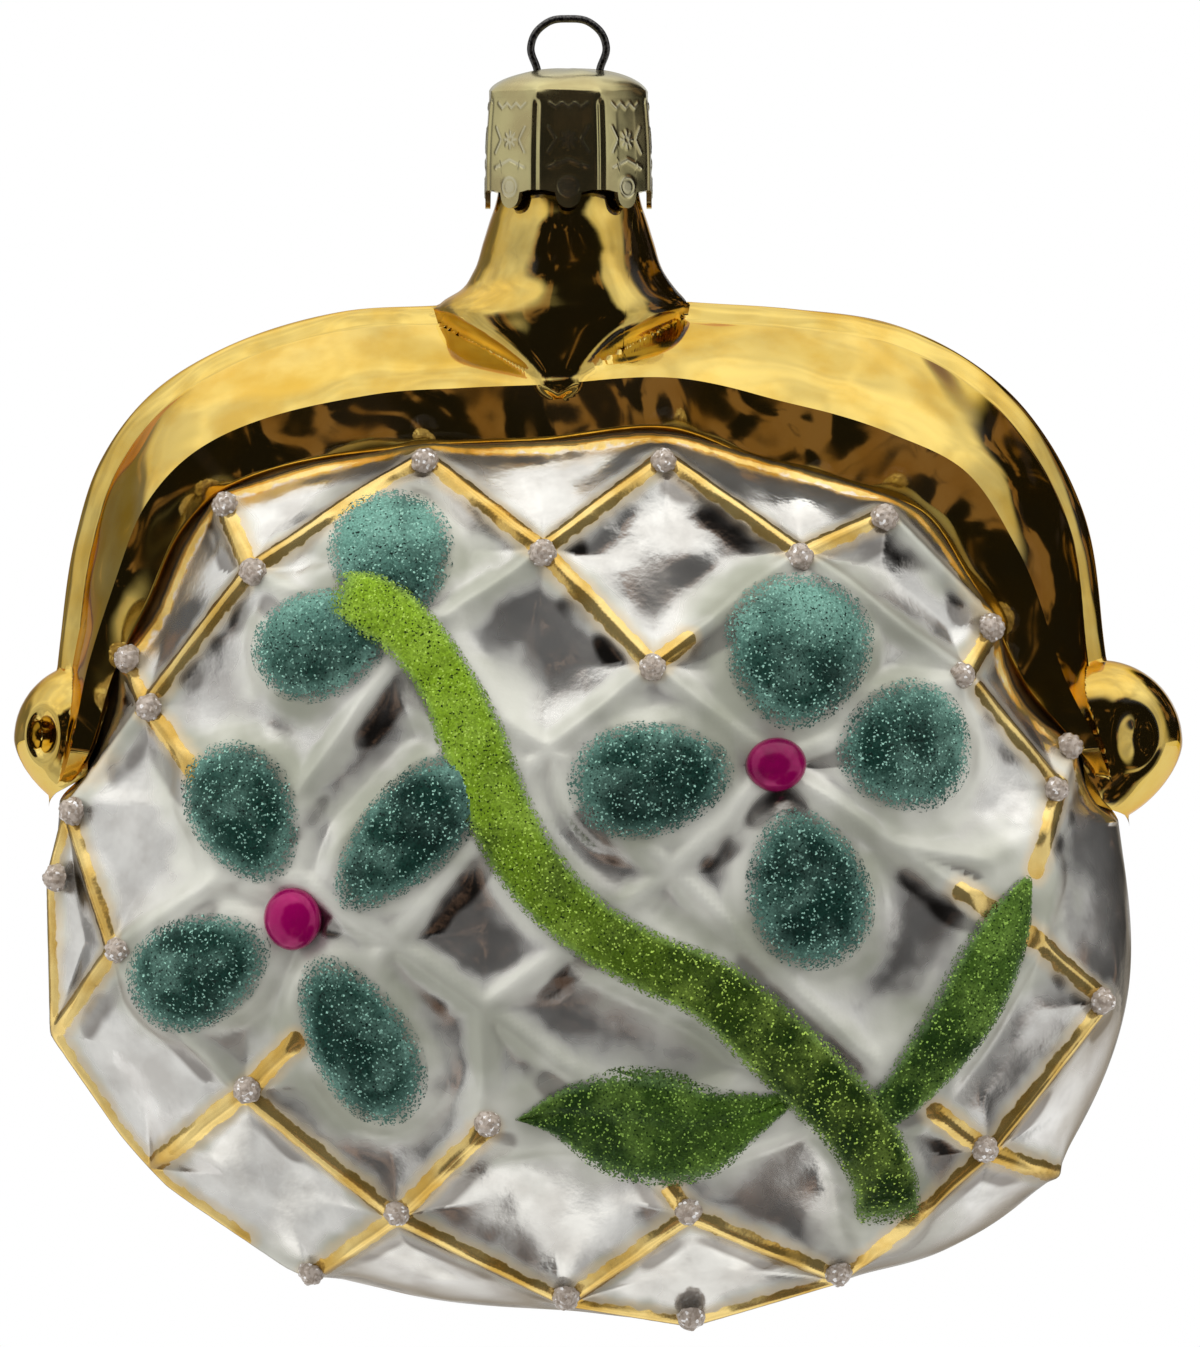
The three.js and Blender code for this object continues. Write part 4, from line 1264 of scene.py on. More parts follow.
@dataclass(frozen=True)
class CapSheet(Finish):
    """Pressed sheet with a pale brass coat, a little rubbed along its raised marks."""

    name: str = "cap_sheet"
    pale: Colour = (0.58, 0.52, 0.26)
    deep: Colour = (0.50, 0.42, 0.21)
    rubbed: Colour = (0.66, 0.62, 0.44)
    waves: Waves = Waves(420.0, 0.05, 0.0002, 0.25)

    def paint(self, t: NodeTree, shader: Sockets) -> None:
        """Join the finish's nodes to the shader's sockets.

        Args:
            t: the material's nodes.
            shader: the Principled shader's sockets.
        """
        normal, mottle = self.waves.add(t)
        worn = t.span(t.attribute("raised"), 0.1, 0.8, 0.0, 0.7)
        t.join(t.mix(worn, t.mix(mottle, self.pale, self.deep), self.rubbed), shader["Base Color"])
        t.join(t.span(mottle, 0.0, 1.0, 0.18, 0.28), shader["Roughness"])
        t.join(normal, shader["Normal"])
        shader["Metallic"].default_value = 1.0


@dataclass(frozen=True)
class DrawnWire(Finish):
    """Dark drawn steel wire with fine marks along it."""

    name: str = "drawn_wire"
    dark: Colour = (0.05, 0.05, 0.055)
    pale: Colour = (0.16, 0.155, 0.15)

    def paint(self, t: NodeTree, shader: Sockets) -> None:
        """Join the finish's nodes to the shader's sockets.

        Args:
            t: the material's nodes.
            shader: the Principled shader's sockets.
        """
        streaks = t.noise(5200.0, 3.0)
        t.join(t.mix(t.span(streaks, 0.35, 0.65), self.dark, self.pale), shader["Base Color"])
        t.join(t.span(streaks, 0.3, 0.7, 0.22, 0.4), shader["Roughness"])
        shader["Metallic"].default_value = 1.0


GOLD = GoldLacquer()
SILVER = QuiltedSilver()
BERRY = BerryLacquer()
GRIT = ClearGrit()
CAP_SHEET = CapSheet()
WIRE = DrawnWire()
TEAL = Glitter("teal_flakes")
STEM_GREEN = Glitter(
    "stem_flakes", start=(0.20, 0.34, 0.015), end=(0.010, 0.032, 0.0015), bright=(0.50, 0.72, 0.12),
    dark=(0.012, 0.03, 0.003), dust=(0.20, 0.32, 0.08), change=(0.1, 0.8),
)
LEAF_GREEN = Glitter(
    "leaf_flakes", start=(0.012, 0.038, 0.004), end=(0.060, 0.13, 0.012), bright=(0.34, 0.56, 0.10),
    dark=(0.01, 0.03, 0.004), dust=(0.13, 0.22, 0.08), change=(0.2, 1.0),
)


def dress(piece: Piece, finish: Finish, body: str,
          nodes: tuple[str, ...] = ()) -> Piece:
    """Give a piece its finish, its body and the nodes that it stands for, and report it.

    Args:
        piece: the piece.
        finish: its finish.
        body: the body that it rides on.
        nodes: CAD nodes that it replaces.

    Returns:
        The piece.
    """
    piece.data.materials.clear()
    piece.data.materials.append(finish.material())
    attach(piece, body)
    if nodes:
        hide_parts(*nodes)
    LOG.info("%s: %d faces on %s", piece.name, len(piece.data.polygons), body)
    return piece


# Sub-assemblies


@dataclass
class HalfSheet:
    """One half of the pouch before its relief, with the way out of it at each place."""

    piece: Piece
    places: Array
    out: Array
    angle: Array
    radius: Array


@dataclass
class QuiltedPouch:
    """The silvered pouch: two moulded halves with raised ridges between dished diamonds."""

    form: PurseForm
    front_fineness: int = 300
    back_fineness: int = 210
    ridge_height: float = 0.5
    ridge_spread: float = 0.75
    dish_height: float = 0.8
    dish_spread: float = 2.4
    petal_swell: float = 0.45
    petal_slope: float = 1.8
    calm_reach: float = 1.5
    rim_height: float = 0.3
    rim_at: float = 0.55
    rim_spread: float = 0.4
    bare_rim: float = 0.05
    shadow_at: float = 1.7
    shadow_spread: float = 1.1
    shadow_gain: float = 1.6
    ridge_reach: float = 8.0
    gold_reach: float = 4.0
    frame_gold: float = 0.1
    frame_gold_slope: float = 0.6
    frame_reach: float = 9.0
    pearl_reach: float = 12.0
    run_half_width: float = 2.2
    path_points: int = 9
    run_points: int = 24
    seam_points: int = 721

    def path(self, start: str, end: str, share: float, side: Side) -> Array:
        """A ridge's way over the glass from one crossing towards another.

        Args:
            start: the first crossing.
            end: the other crossing.
            share: how much of the way to it is taken.
            side: the face of the purse.

        Returns:
            The corners of the way in metres.
        """
        a, b = np.array(CROSSINGS[start]), np.array(CROSSINGS[end])
        t = np.linspace(0.0, share, self.path_points)[:, None]
        way = a + (b - a) * t
        return self.form.on_glass(way[:, 0], way[:, 1], side)[0]

    def ridge_distance(self, points: Array, side: Side) -> tuple[Array, Array]:
        """Distance in millimetres from each point to the nearest ridge.

        Args:
            points: places.
            side: the face of the purse.

        Returns:
            The distances, and how straight above the point that ridge lies, from -1 to 1.
        """
        reach = self.ridge_reach * MM
        best, rise = np.full(len(points), reach), np.zeros(len(points))
        for start, end in steps_of(RIDGE_LINES):
            distance, above = nearest_on_path(points, self.path(start, end, 1.0, side), reach)
            rise = np.where(distance < best, above, rise)
            best = np.minimum(best, distance)
        return best / MM, rise / np.maximum(best, TINY)

    def gold_distance(self, points: Array, side: Side) -> Array:
        """Distance in millimetres from each point to the nearest lacquered stretch.

        Args:
            points: places.
            side: the face of the purse.

        Returns:
            The distances.
        """
        reach = self.gold_reach * MM
        best = np.full(len(points), reach)
        full = [(start, end, 1.0) for start, end in steps_of(GOLD_LINES)]
        for start, end, share in full + GOLD_ENDS:
            distance, _ = nearest_on_path(points, self.path(start, end, share, side), reach)
            best = np.minimum(best, distance)
        return best / MM

    def pearl_distance(self, points: Array) -> Array:
        """Distance in millimetres, seen from the front, from each point to the glitter.

        Args:
            points: places.

        Returns:
            The distances, below zero on the glitter.
        """
        flat = points.copy()
        flat[:, 1] = 0.0
        ways = []
        for petal in PETALS.values():
            turn = math.radians(petal.degrees)
            straight = max(petal.half_length - petal.half_width, 0.1)
            along = straight * np.array([math.cos(turn), math.sin(turn)])
            ends = np.array([[petal.u, petal.v] - along, [petal.u, petal.v] + along])
            ways.append((ends, petal.half_width * MM))
        for run in RUNS.values():
            ways.append((along_run(run, np.linspace(0.0, 1.0, self.run_points)), self.run_half_width * MM))
        reach = self.pearl_reach * MM
        best = np.full(len(points), reach)
        for way, thickness in ways:
            path = self.form.place(way[:, 0], way[:, 1], np.zeros(len(way)))
            best = np.minimum(best, nearest_on_path(flat, path, reach + thickness)[0] - thickness)
        return best / MM

    def blank(self, name: str, side: Side, fineness: int) -> HalfSheet:
        """One smooth half of the pouch, flat at its rim on the seam.

        Args:
            name: the piece's name.
            side: the face of the purse.
            fineness: cells each way.

        Returns:
            The half before its relief.
        """
        piece = sheet(name, fineness, fineness)
        square = points_of(piece)
        a, b = square[:, 0], square[:, 1]
        disc_u, disc_v = a * np.sqrt(1 - b * b / 2), b * np.sqrt(1 - a * a / 2)
        angle = np.arctan2(disc_v, disc_u)
        share = np.sin(np.clip(np.hypot(disc_u, disc_v), 0.0, 1.0) * math.pi / 2)
        rim = np.maximum(np.abs(a), np.abs(b)) > 1 - TINY
        share = np.where(rim, 1.0, share)
        radius = share * self.form.pouch_reach(angle)
        depth = np.where(rim, 0.0, self.form.pouch_depth * dome(share, self.form.pouch_fullness))
        places = self.form.place(radius * np.cos(angle), radius * np.sin(angle), side.value * depth)
        move_points(piece, places)
        out = normals_of(piece)
        out *= np.where(np.sum(out * [0, side.value, 0], axis=1) < 0, -1, 1)[:, None]
        out[rim] = np.stack([np.cos(angle[rim]), np.zeros(rim.sum()), np.sin(angle[rim])], axis=1)
        return HalfSheet(piece, places, out, angle, radius)

    def from_frame(self, half: HalfSheet) -> Array:
        """How far inwards of the frame each place is.

        Args:
            half: the half before its relief.

        Returns:
            Distances in millimetres, the full reach where there is no frame.
        """
        turns = np.linspace(-math.pi, math.pi, self.seam_points)
        valley = self.form.valley_radius(turns)
        inwards = np.interp(half.angle, turns, valley) - half.radius
        bare = np.interp(half.angle, turns, self.form.outline(turns) - valley) < self.bare_rim
        return np.where(bare, self.frame_reach, np.clip(inwards, 0.0, self.frame_reach))

    def relief(self, ridge: Array, pearl: Array, from_frame: Array) -> Array:
        """Height of the moulded relief over the smooth pouch.

        Args:
            ridge: distance to the nearest ridge in millimetres.
            pearl: distance to the glitter.
            from_frame: distance to the frame.

        Returns:
            The heights in millimetres, below zero in the dished diamonds.
        """
        calm = np.clip(pearl / self.calm_reach, 0.0, 1.0)
        lift = self.ridge_height * bell(ridge / self.ridge_spread) * calm
        lift += self.dish_height * (bell(ridge / self.dish_spread) - 1.0) * calm
        lift += self.petal_swell * bell(np.clip(pearl, 0.0, None) / self.petal_slope)
        lift += self.rim_height * bell((from_frame - self.rim_at) / self.rim_spread)
        return lift

    def half(self, name: str, side: Side, fineness: int) -> Piece:
        """One half of the pouch, closed by a flat face on the seam.

        Args:
            name: the piece's name.
            side: the face of the purse.
            fineness: cells each way.

        Returns:
            The half.
        """
        half = self.blank(name, side, fineness)
        ridge, above = self.ridge_distance(half.places, side)
        pearl = self.pearl_distance(half.places)
        from_frame = self.from_frame(half)
        at_frame = self.frame_gold + self.frame_gold_slope * from_frame
        # Painted shade: a mask strongest about 1.7 mm below a ridge, which the silver finish paints dark.
        shadow = bell((ridge - self.shadow_at) / self.shadow_spread)
        store(half.piece, "gold_distance", np.minimum(self.gold_distance(half.places, side), at_frame))
        store(half.piece, "pearl_distance", pearl)
        store(half.piece, "ridge_distance", ridge)
        store(half.piece, "under_ridge", shadow * np.clip(above * self.shadow_gain, 0.0, 1.0))
        lift = self.relief(ridge, pearl, from_frame)
        move_points(half.piece, half.places + half.out * (lift * MM)[:, None])
        weld_and_close(half.piece, WELD, True)
        smooth(half.piece)
        return half.piece

    def build(self) -> None:
        """Make and dress both halves."""
        front = self.half("pouch_front", Side.FRONT, self.front_fineness)
        back = self.half("pouch_back", Side.BACK, self.back_fineness)
        for piece in (front, back):
            dress(piece, SILVER, "ornament", ("glass_shell",))


@dataclass
class ClaspFrame:
    """The gold clasp frame with its knobs and the neck, one polished band."""

    form: PurseForm
    columns: int = 560
    rows: int = 176
    crest_row: int = 56
    bore_radius: float = 4.4
    bore_foot: float = -27.0
    rim_height: float = -6.7
    neck_start: float = 3.0
    knob_tuck: float = 3.0
    knob_tuck_slope: float = 1.5
    edge_reach: float = 18.0
    edge_steps: int = 900
    edge_points: int = 6000
    end_gap: float = 1e-4
    bore_corners: int = 96
    bore_spare: float = 2.0

    def outer_radius(self, angle: Array) -> Array:
        """Radius at which frame, knobs or neck end.

        Args:
            angle: directions from the centre in radians.

        Returns:
            The radii in millimetres.
        """
        radius = self.form.outline(angle)
        for reach in np.linspace(0.0, self.edge_reach, self.edge_steps):
            tried = self.form.outline(angle) + reach
            u, v = tried * np.cos(angle), tried * np.sin(angle)
            solid = (self.form.knob(u, v) > 0) | (self.form.neck(u, v) > 0)
            radius = np.where(solid, tried, radius)
        return radius

    def spaced(self, share: Array) -> tuple[Array, Array]:
        """Columns of the band, evenly spaced along its outer edge.

        Args:
            share: how far along the edge a column is, from 0 to 1.

        Returns:
            Angle and outer radius of each column.
        """
        first, last = self.form.inner_first + self.end_gap, self.form.inner_last - self.end_gap
        angles = np.linspace(first, last, self.edge_points)
        outer = self.outer_radius(angles)
        along = lengths_along(np.stack([outer * np.cos(angles), outer * np.sin(angles)], axis=1))
        angle = np.interp(share * along[-1], along, angles)
        return angle, np.interp(angle, angles, outer)

    def radius_at(self, angle: Array, outer: Array, down: Array) -> Array:
        """Radius of the band's skin on its way from the outer edge over the crest to the inner edge.

        Args:
            angle: directions from the centre in radians.
            outer: radius of the outer edge there.
            down: how far on the way a place is, from 0 to 1.

        Returns:
            The radii in millimetres.
        """
        edge = self.form.outline(angle)
        crest = edge - self.form.crest_inwards(angle)
        crest_share = self.crest_row / (self.rows / 2)
        to_crest = np.clip(down / crest_share, 0.0, 1.0)
        on_neck = np.clip((outer - edge) / self.neck_start, 0.0, 1.0)
        closing = 1 - np.cos(to_crest * math.pi / 2)
        climbed = outer + (crest - outer) * (closing + (to_crest - closing) * on_neck)
        past = np.clip((down - crest_share) / (1 - crest_share), 0.0, 1.0)
        tuck = np.minimum(self.knob_tuck, self.knob_tuck_slope * (outer - edge))
        inner = edge - np.maximum(self.form.frame_width(angle), tuck)
        fallen = crest + (inner - crest) * np.sin(past * math.pi / 2)
        return np.where(down <= crest_share, climbed, fallen)

    def band(self) -> Piece:
        """The band as one closed skin, from the left knob over the neck to the right one.

        Returns:
            The piece.
        """
        piece = sheet("clasp_frame", self.columns, self.rows)
        grid = points_of(piece)
        angle, outer = self.spaced((grid[:, 0] + 1) / 2)
        down = np.abs(grid[:, 1])
        radius = self.radius_at(angle, outer, down)
        u, v = radius * np.cos(angle), radius * np.sin(angle)
        rim = (down < TINY) | (down > 1 - TINY)
        depth = np.where(rim, 0.0, self.form.metalwork(u, v))
        move_points(piece, self.form.place(u, v, np.sign(grid[:, 1]) * depth))
        weld_and_close(piece, WELD, True)
        return piece

    def build(self) -> None:
        """Make the band, bore its neck and dress it."""
        piece = self.band()
        length = self.rim_height + self.bore_spare - self.bore_foot
        place = (0.0, 0.0, self.bore_foot + length / 2)
        drill(piece, self.bore_radius, length, place, self.bore_corners)
        smooth(piece, 40.0)
        dress(piece, GOLD, "ornament", ("glass_shell",))


class Stroke(NamedTuple):
    """A rounded stroke pressed into a panel, in millimetres from the middle of the panel's foot."""

    start: tuple[float, float]
    end: tuple[float, float]
    width: float

    def height(self, x: Array, z: Array) -> Array:
        """Height of the stroke.

        Args:
            x: millimetres from the panel's middle.
            z: millimetres above the skirt's foot.

        Returns:
            The share of the full emboss.
        """
        way = np.array(self.end) - self.start
        x, z = x - self.start[0], z - self.start[1]
        share = np.clip((x * way[0] + z * way[1]) / (way @ way), 0.0, 1.0)
        return bell(np.hypot(x - share * way[0], z - share * way[1]) / self.width)


@dataclass
class PressedCap:
    """The pressed cap: a domed crown and eight embossed panels with a round lobe each."""

    crown_z: float = -3.6
    shoulder_z: float = -5.9
    foot_z: float = -13.1
    flat_radius: float = 6.3
    face_share: float = 0.3
    corner_share: float = 0.7
    skin_inset: float = 0.15
    lobe_radius: float = 0.95
    lobe_drop: float = 0.45
    scallop_half_width: float = 1.9
    scallop_depth: float = 0.25
    scallop_rise: float = 0.1
    wall: float = 0.4
    panels: int = 8
    columns_per_panel: int = 44
    rows: int = 96
    crown_share: float = 0.3
    crown_round: float = 0.55
    crown_corner: float = 0.45
    crown_power: float = 0.9
    crown_spare: float = 1.02
    crown_fullness: float = 2.2
    crinkle_folds: float = 0.05
    crinkle_rim: float = 0.04
    emboss: float = 0.08
    bulge: float = 0.10
    groove_width: float = 0.2
    groove_depth: float = 0.28
    skirt_flare: float = 0.3
    star_z: float = 3.9
    star_inner: float = 0.22
    star_outer: float = 0.62
    star_width: float = 0.11
    zigzag_start: float = -1.5
    zigzag_step: float = 0.5
    zigzag_low: float = 6.35
    zigzag_high: float = 6.75
    arrow_inner: float = 0.95
    arrow_outer: float = 1.55
    bar_middle: tuple[float, float] = (0.0, 2.35)
    bar_end: tuple[float, float] = (1.5, 1.75)
    bar_width: float = 0.13
    line_width: float = 0.10
    ring_z: float = 0.25
    ring_radius: float = 0.72
    ring_width: float = 0.12
    disc_radius: float = 0.62
    disc_height: float = 0.7
    hole_radius: float = 0.5
    hole_length: float = 4.0
    hole_corners: int = 32
    leg_spacing: float = 2.4

    def strokes(self) -> list[Stroke]:
        """The strokes of one panel: a star, a zigzag above it and lines beside and below it.

        Returns:
            The strokes.
        """
        found = []
        for i in range(8):
            turn = i * math.pi / 4
            c, s = math.cos(turn), math.sin(turn)
            inner = (self.star_inner * c, self.star_z + self.star_inner * s)
            outer = (self.star_outer * c, self.star_z + self.star_outer * s)
            found.append(Stroke(inner, outer, self.star_width))
        for i in range(6):
            left = self.zigzag_start + self.zigzag_step * i
            low, high = (self.zigzag_low, self.zigzag_high) if i % 2 else (self.zigzag_high, self.zigzag_low)
            found.append(Stroke((left, low), (left + self.zigzag_step, high), self.line_width))
        for end in (-1.0, 1.0):
            for tip in (self.star_z + 1.0, self.star_z - 1.0):
                start = (end * self.arrow_inner, self.star_z)
                found.append(Stroke(start, (end * self.arrow_outer, tip), self.line_width))
            found.append(Stroke(self.bar_middle, (end * self.bar_end[0], self.bar_end[1]), self.bar_width))
        return found

    def marks(self, x: Array, z: Array) -> Array:
        """Height of the pressed marks at a place on one panel, from 0 to 1.

        Args:
            x: millimetres from the panel's middle.
            z: millimetres above the skirt's foot.

        Returns:
            The share of the full emboss.
        """
        height = np.zeros_like(x)
        for stroke in self.strokes():
            height = np.maximum(height, stroke.height(x, z))
        from_ring = np.hypot(x, z - self.ring_z)
        height = np.maximum(height, bell(np.abs(from_ring - self.ring_radius) / self.ring_width))
        disc = np.clip(1.0 - from_ring / self.disc_radius, 0.0, 1.0)
        return np.maximum(height, self.disc_height * np.clip(disc * 4, 0.0, 1.0))

    def crown(self, angle: Array, flat: Array, t: Array) -> tuple[Array, Array]:
        """The domed and slightly crinkled top.

        Args:
            angle: directions from the axis in radians.
            flat: distance from the axis to the panel there.
            t: share of the way from the middle to the shoulder.

        Returns:
            Radius and height in millimetres.
        """
        blend = np.clip((t - self.crown_round) / self.crown_corner, 0.0, 1.0) ** 2
        rim = self.flat_radius + (flat - self.flat_radius) * blend * self.corner_share
        radius = rim * np.sin(t * math.pi / 2) ** self.crown_power
        rise = dome(radius / (rim * self.crown_spare), self.crown_fullness)
        crinkle = self.crinkle_folds * np.sin(angle * 5 + 1.3) * np.sin(t * 5)
        crinkle += self.crinkle_rim * np.sin(angle * 9) * t
        height = self.shoulder_z + (self.crown_z - self.shoulder_z) * rise + crinkle
        return radius - self.skin_inset * t**3, height

    def skirt(self, inside: Array, flat: Array, s: Array) -> tuple[Array, Array, Array]:
        """The eight panels with the grooves between them and the lobes at their feet.

        Args:
            inside: angle from the middle of the panel in radians.
            flat: distance from the axis to the panel there.
            s: share of the way from the shoulder to the foot.

        Returns:
            Radius and height in millimetres, and the height of the marks from 0 to 1.
        """
        x = self.flat_radius * np.tan(inside)
        lobe = np.sqrt(np.clip(self.lobe_radius**2 - x**2, 0.0, None))
        lobe_drop = np.where(np.abs(x) < self.lobe_radius, self.lobe_drop + lobe, 0.0)
        scallop = self.scallop_depth * (1 - (x / self.scallop_half_width) ** 2)
        scallop = np.where(np.abs(x) < self.scallop_half_width, scallop, -self.scallop_rise)
        foot = np.minimum(self.foot_z - lobe_drop, self.foot_z - scallop)
        height = self.shoulder_z + (foot - self.shoulder_z) * s
        from_groove = (np.abs(inside) - math.pi / self.panels) * self.flat_radius
        groove = self.groove_depth * bell(from_groove / self.groove_width) * np.clip(s * 12, 0, 1)
        raised = self.marks(x, height - self.foot_z) * np.clip(s * 30, 0, 1)
        bulge = self.bulge * np.sin(s * math.pi)
        radius = (self.flat_radius * self.face_share + flat * self.corner_share) - groove
        radius += (raised * self.emboss + bulge + self.skirt_flare * s) / np.cos(inside) - self.skin_inset
        return radius, height, raised

    def build(self) -> None:
        """Shape the sheet, give it its wall, pierce it and dress it."""
        piece = sheet("pressed_cap", self.columns_per_panel * self.panels, self.rows)
        grid = points_of(piece)
        angle = grid[:, 0] * math.pi
        down = (grid[:, 1] + 1) / 2
        sector = 2 * math.pi / self.panels
        inside = (angle + math.pi / 2 + sector / 2) % sector - sector / 2
        flat = self.flat_radius / np.cos(inside)
        on_crown = down < self.crown_share
        top = self.crown(angle, flat, np.clip(down / self.crown_share, 0.0, 1.0))
        below = np.clip((down - self.crown_share) / (1 - self.crown_share), 0.0, 1.0)
        skirt_radius, skirt_height, raised = self.skirt(inside, flat, below)
        radius = np.where(on_crown, top[0], skirt_radius)
        height = np.where(on_crown, top[1], skirt_height)
        points = np.stack([radius * np.cos(angle), radius * np.sin(angle), height], axis=1)
        move_points(piece, points * MM)
        store(piece, "raised", np.where(on_crown, 0.0, raised))
        weld_and_close(piece, 2e-6, False)
        apply_modifier(piece, "SOLIDIFY", thickness=self.wall * MM, offset=-1.0)
        for end in (-1.0, 1.0):
            place = (end * self.leg_spacing, 0.0, self.crown_z)
            drill(piece, self.hole_radius, self.hole_length, place, self.hole_corners)
        smooth(piece, 55.0)
        dress(piece, CAP_SHEET, "cap", ("hanger_cap",))


@dataclass
class HangerWire:
    """The sprung wire: a loop above the cap and two legs that spread in the neck."""

    radius: float = 0.3
    loop_sink: float = 0.06
    half_loop: tuple[tuple[float, float], ...] = (
        (1.8, -0.15), (2.9, -1.8), (2.4, -3.9), (2.4, -5.9), (2.95, -10.37), (3.5, -16.2), (2.7, -17.7),
    )

    def build(self) -> None:
        """Sweep the wire along its way and dress it."""
        clear_selection()
        bpy.ops.curve.primitive_nurbs_path_add()
        curve = bpy.context.object
        curve.name = "loop_wire"
        data = curve.data
        data.splines.clear()
        left = [(-x, z) for x, z in reversed(self.half_loop)]
        way = [*left, (0.0, self.radius - self.loop_sink), *self.half_loop]
        spline = data.splines.new("BEZIER")
        spline.bezier_points.add(len(way) - 1)
        for point, (x, z) in zip(spline.bezier_points, way):
            point.co = (x * MM, 0.0, z * MM)
            point.handle_left_type = "AUTO"
            point.handle_right_type = "AUTO"
        data.resolution_u = 16
        data.bevel_depth = self.radius * MM
        data.bevel_resolution = 6
        data.use_fill_caps = True
        pick(curve)
        bpy.ops.object.convert(target="MESH")
        piece = take_new("loop_wire")
        weld_and_close(piece, WELD, False)
        smooth(piece, 50.0)
        dress(piece, WIRE, "hanger_wire", ("hanger_wire",))


@dataclass
class FlowerSpray:
    """The glitter petals, berries, stem, side shoot and leaf of one face."""

    form: PurseForm
    side: Side
    petal_height: float = 1.75
    berry_height: float = 2.1
    stem_height: float = 1.45
    leaf_height: float = 1.15
    vein_depth: float = 0.3
    vein_width: float = 0.16
    seat: float = 0.52
    sink: float = 0.3
    taper: float = 0.16
    grain: float = 0.035
    spill: float = 0.08
    sparse: float = 0.26
    light_reach: float = 30.0
    light_middle: float = 0.05
    bud_lift: float = 1.3
    lift_share: float = 0.15
    tone_slope: float = 0.1
    least_cover: float = 0.08
    rough_from: float = 0.1
    look_ahead: float = 0.004
    end_fade: float = 0.02
    crown_power: float = 0.8
    petal_segments: int = 72
    berry_segments: int = 48

    def lay(self, piece: Piece, u: Array, v: Array, lift: Array, grain: float) -> None:
        """Lay shaped points on the glass.

        Args:
            piece: the piece.
            u: places to the right of the centre.
            v: places above the centre.
            lift: height over the glass in millimetres.
            grain: how rough the skin is, in millimetres.
        """
        places, out = self.form.on_glass(u, v, self.side)
        dice = np.random.default_rng(sum(piece.name.encode()))
        rough = dice.normal(0.0, 1.0, len(u)) * grain * (lift > self.rough_from)
        move_points(piece, places + out * ((lift + rough) * MM)[:, None])
        weld_and_close(piece, FINE_WELD, False)
        smooth(piece, 80.0)

    def petal(self, name: str, petal: Petal, height: float, fineness: int, grain: float) -> Piece:
        """An egg-shaped dome on the glass.

        Args:
            name: the piece's name.
            petal: its place and sizes.
            height: height of the dome.
            fineness: segments round it.
            grain: how rough its skin is, in millimetres, nothing for lacquer.

        Returns:
            The piece.
        """
        piece = ball(name, fineness, fineness // 2)
        unit = points_of(piece)
        turn = math.radians(petal.degrees)
        along, across, up = unit[:, 0], unit[:, 1], unit[:, 2]
        spilt = 1 + self.spill if grain else 1.0
        ahead = petal.half_length * spilt * along
        wide = petal.half_width * spilt * across * (1 + self.taper * along * (grain > 0))
        u = petal.u + ahead * math.cos(turn) - wide * math.sin(turn)
        v = petal.v + ahead * math.sin(turn) + wide * math.cos(turn)
        lift = np.where(up > 0, self.seat + (height - self.seat) * np.abs(up), -self.sink * -up)
        # Painted light: the petal's glitter is lighter the higher the petal sits on the purse and towards its
        # upper side, and a little lighter towards its outer end.
        lit = self.light_middle + petal.v / self.light_reach
        store(piece, "tone", lit + (v - petal.v) / (2 * petal.half_length) + self.tone_slope * along)
        store(piece, "cover", (1 - np.hypot(along, across)) / self.sparse + self.least_cover)
        self.lay(piece, u, v, lift, grain)
        return piece

    def strip(self, name: str, run: list, height: float, segments: int, rings: int, blunt: float,
              vein: float = 0.0, start_lift: float = 0.0) -> Piece:
        """A rounded band on the glass that follows a run.

        Args:
            name: the piece's name.
            run: centre places and half widths.
            height: height of its crown.
            segments: segments round its section.
            rings: sections along it.
            blunt: how square its ends are, from 0 to 1.
            vein: depth of the furrow along its middle.
            start_lift: how much higher its start lies, over other glitter.

        Returns:
            The piece.
        """
        piece = ball(name, segments, rings)
        unit = points_of(piece)
        t = (1 - unit[:, 2]) / 2
        line = along_run(run, t)
        step = self.look_ahead
        ahead = along_run(run, np.clip(t + step, 0, 1)) - along_run(run, np.clip(t - step, 0, 1))
        ahead /= np.maximum(np.linalg.norm(ahead[:, :2], axis=1, keepdims=True), 1e-9)
        girth = np.hypot(unit[:, 0], unit[:, 1])
        taper = girth ** (1 - blunt)
        across, up = np.where(girth > 1e-9, unit[:, :2].T / np.maximum(girth, 1e-9), 0.0)
        spilt = 1 + self.spill
        wide = line[:, 2] * spilt * across * taper
        u, v = line[:, 0] - ahead[:, 1] * wide, line[:, 1] + ahead[:, 0] * wide
        crown = (height - self.seat) * np.abs(up) ** self.crown_power * taper
        crown -= vein * bell(across / self.vein_width)
        over = start_lift * np.clip(1 - t / self.lift_share, 0.0, 1.0) ** 0.5
        lift = np.where(up > 0, self.seat + crown + over, -self.sink * -up)
        store(piece, "tone", t)
        ends = np.minimum(t, 1 - t) / self.end_fade
        store(piece, "cover", np.minimum((1 - np.abs(across)) / self.sparse, ends) + self.least_cover)
        self.lay(piece, u, v, lift, self.grain)
        return piece

    def build(self) -> None:
        """Lay and dress the whole spray."""
        start = "" if self.side is Side.FRONT else "back_"
        for name, petal in PETALS.items():
            title = f"{start}{name}_glitter"
            piece = self.petal(title, petal, self.petal_height, self.petal_segments, self.grain)
            dress(piece, TEAL, "ornament", (start + name,))
        for name, petal in BERRIES.items():
            piece = self.petal(f"{start}{name}_dome", petal, self.berry_height, self.berry_segments, 0.0)
            dress(piece, BERRY, "ornament", (start + name,))
        strips = {
            "stem": (STEM_GREEN, self.stem_height, 40, 320, 0.8, 0.0, self.bud_lift),
            "side_shoot": (LEAF_GREEN, self.stem_height, 36, 140, 0.6),
            "leaf": (LEAF_GREEN, self.leaf_height, 56, 120, 0.3, self.vein_depth),
        }
        for name, (finish, *sizes) in strips.items():
            piece = self.strip(f"{start}{name}_glitter", RUNS[name], *sizes)
            dress(piece, finish, "ornament", (start + name,))


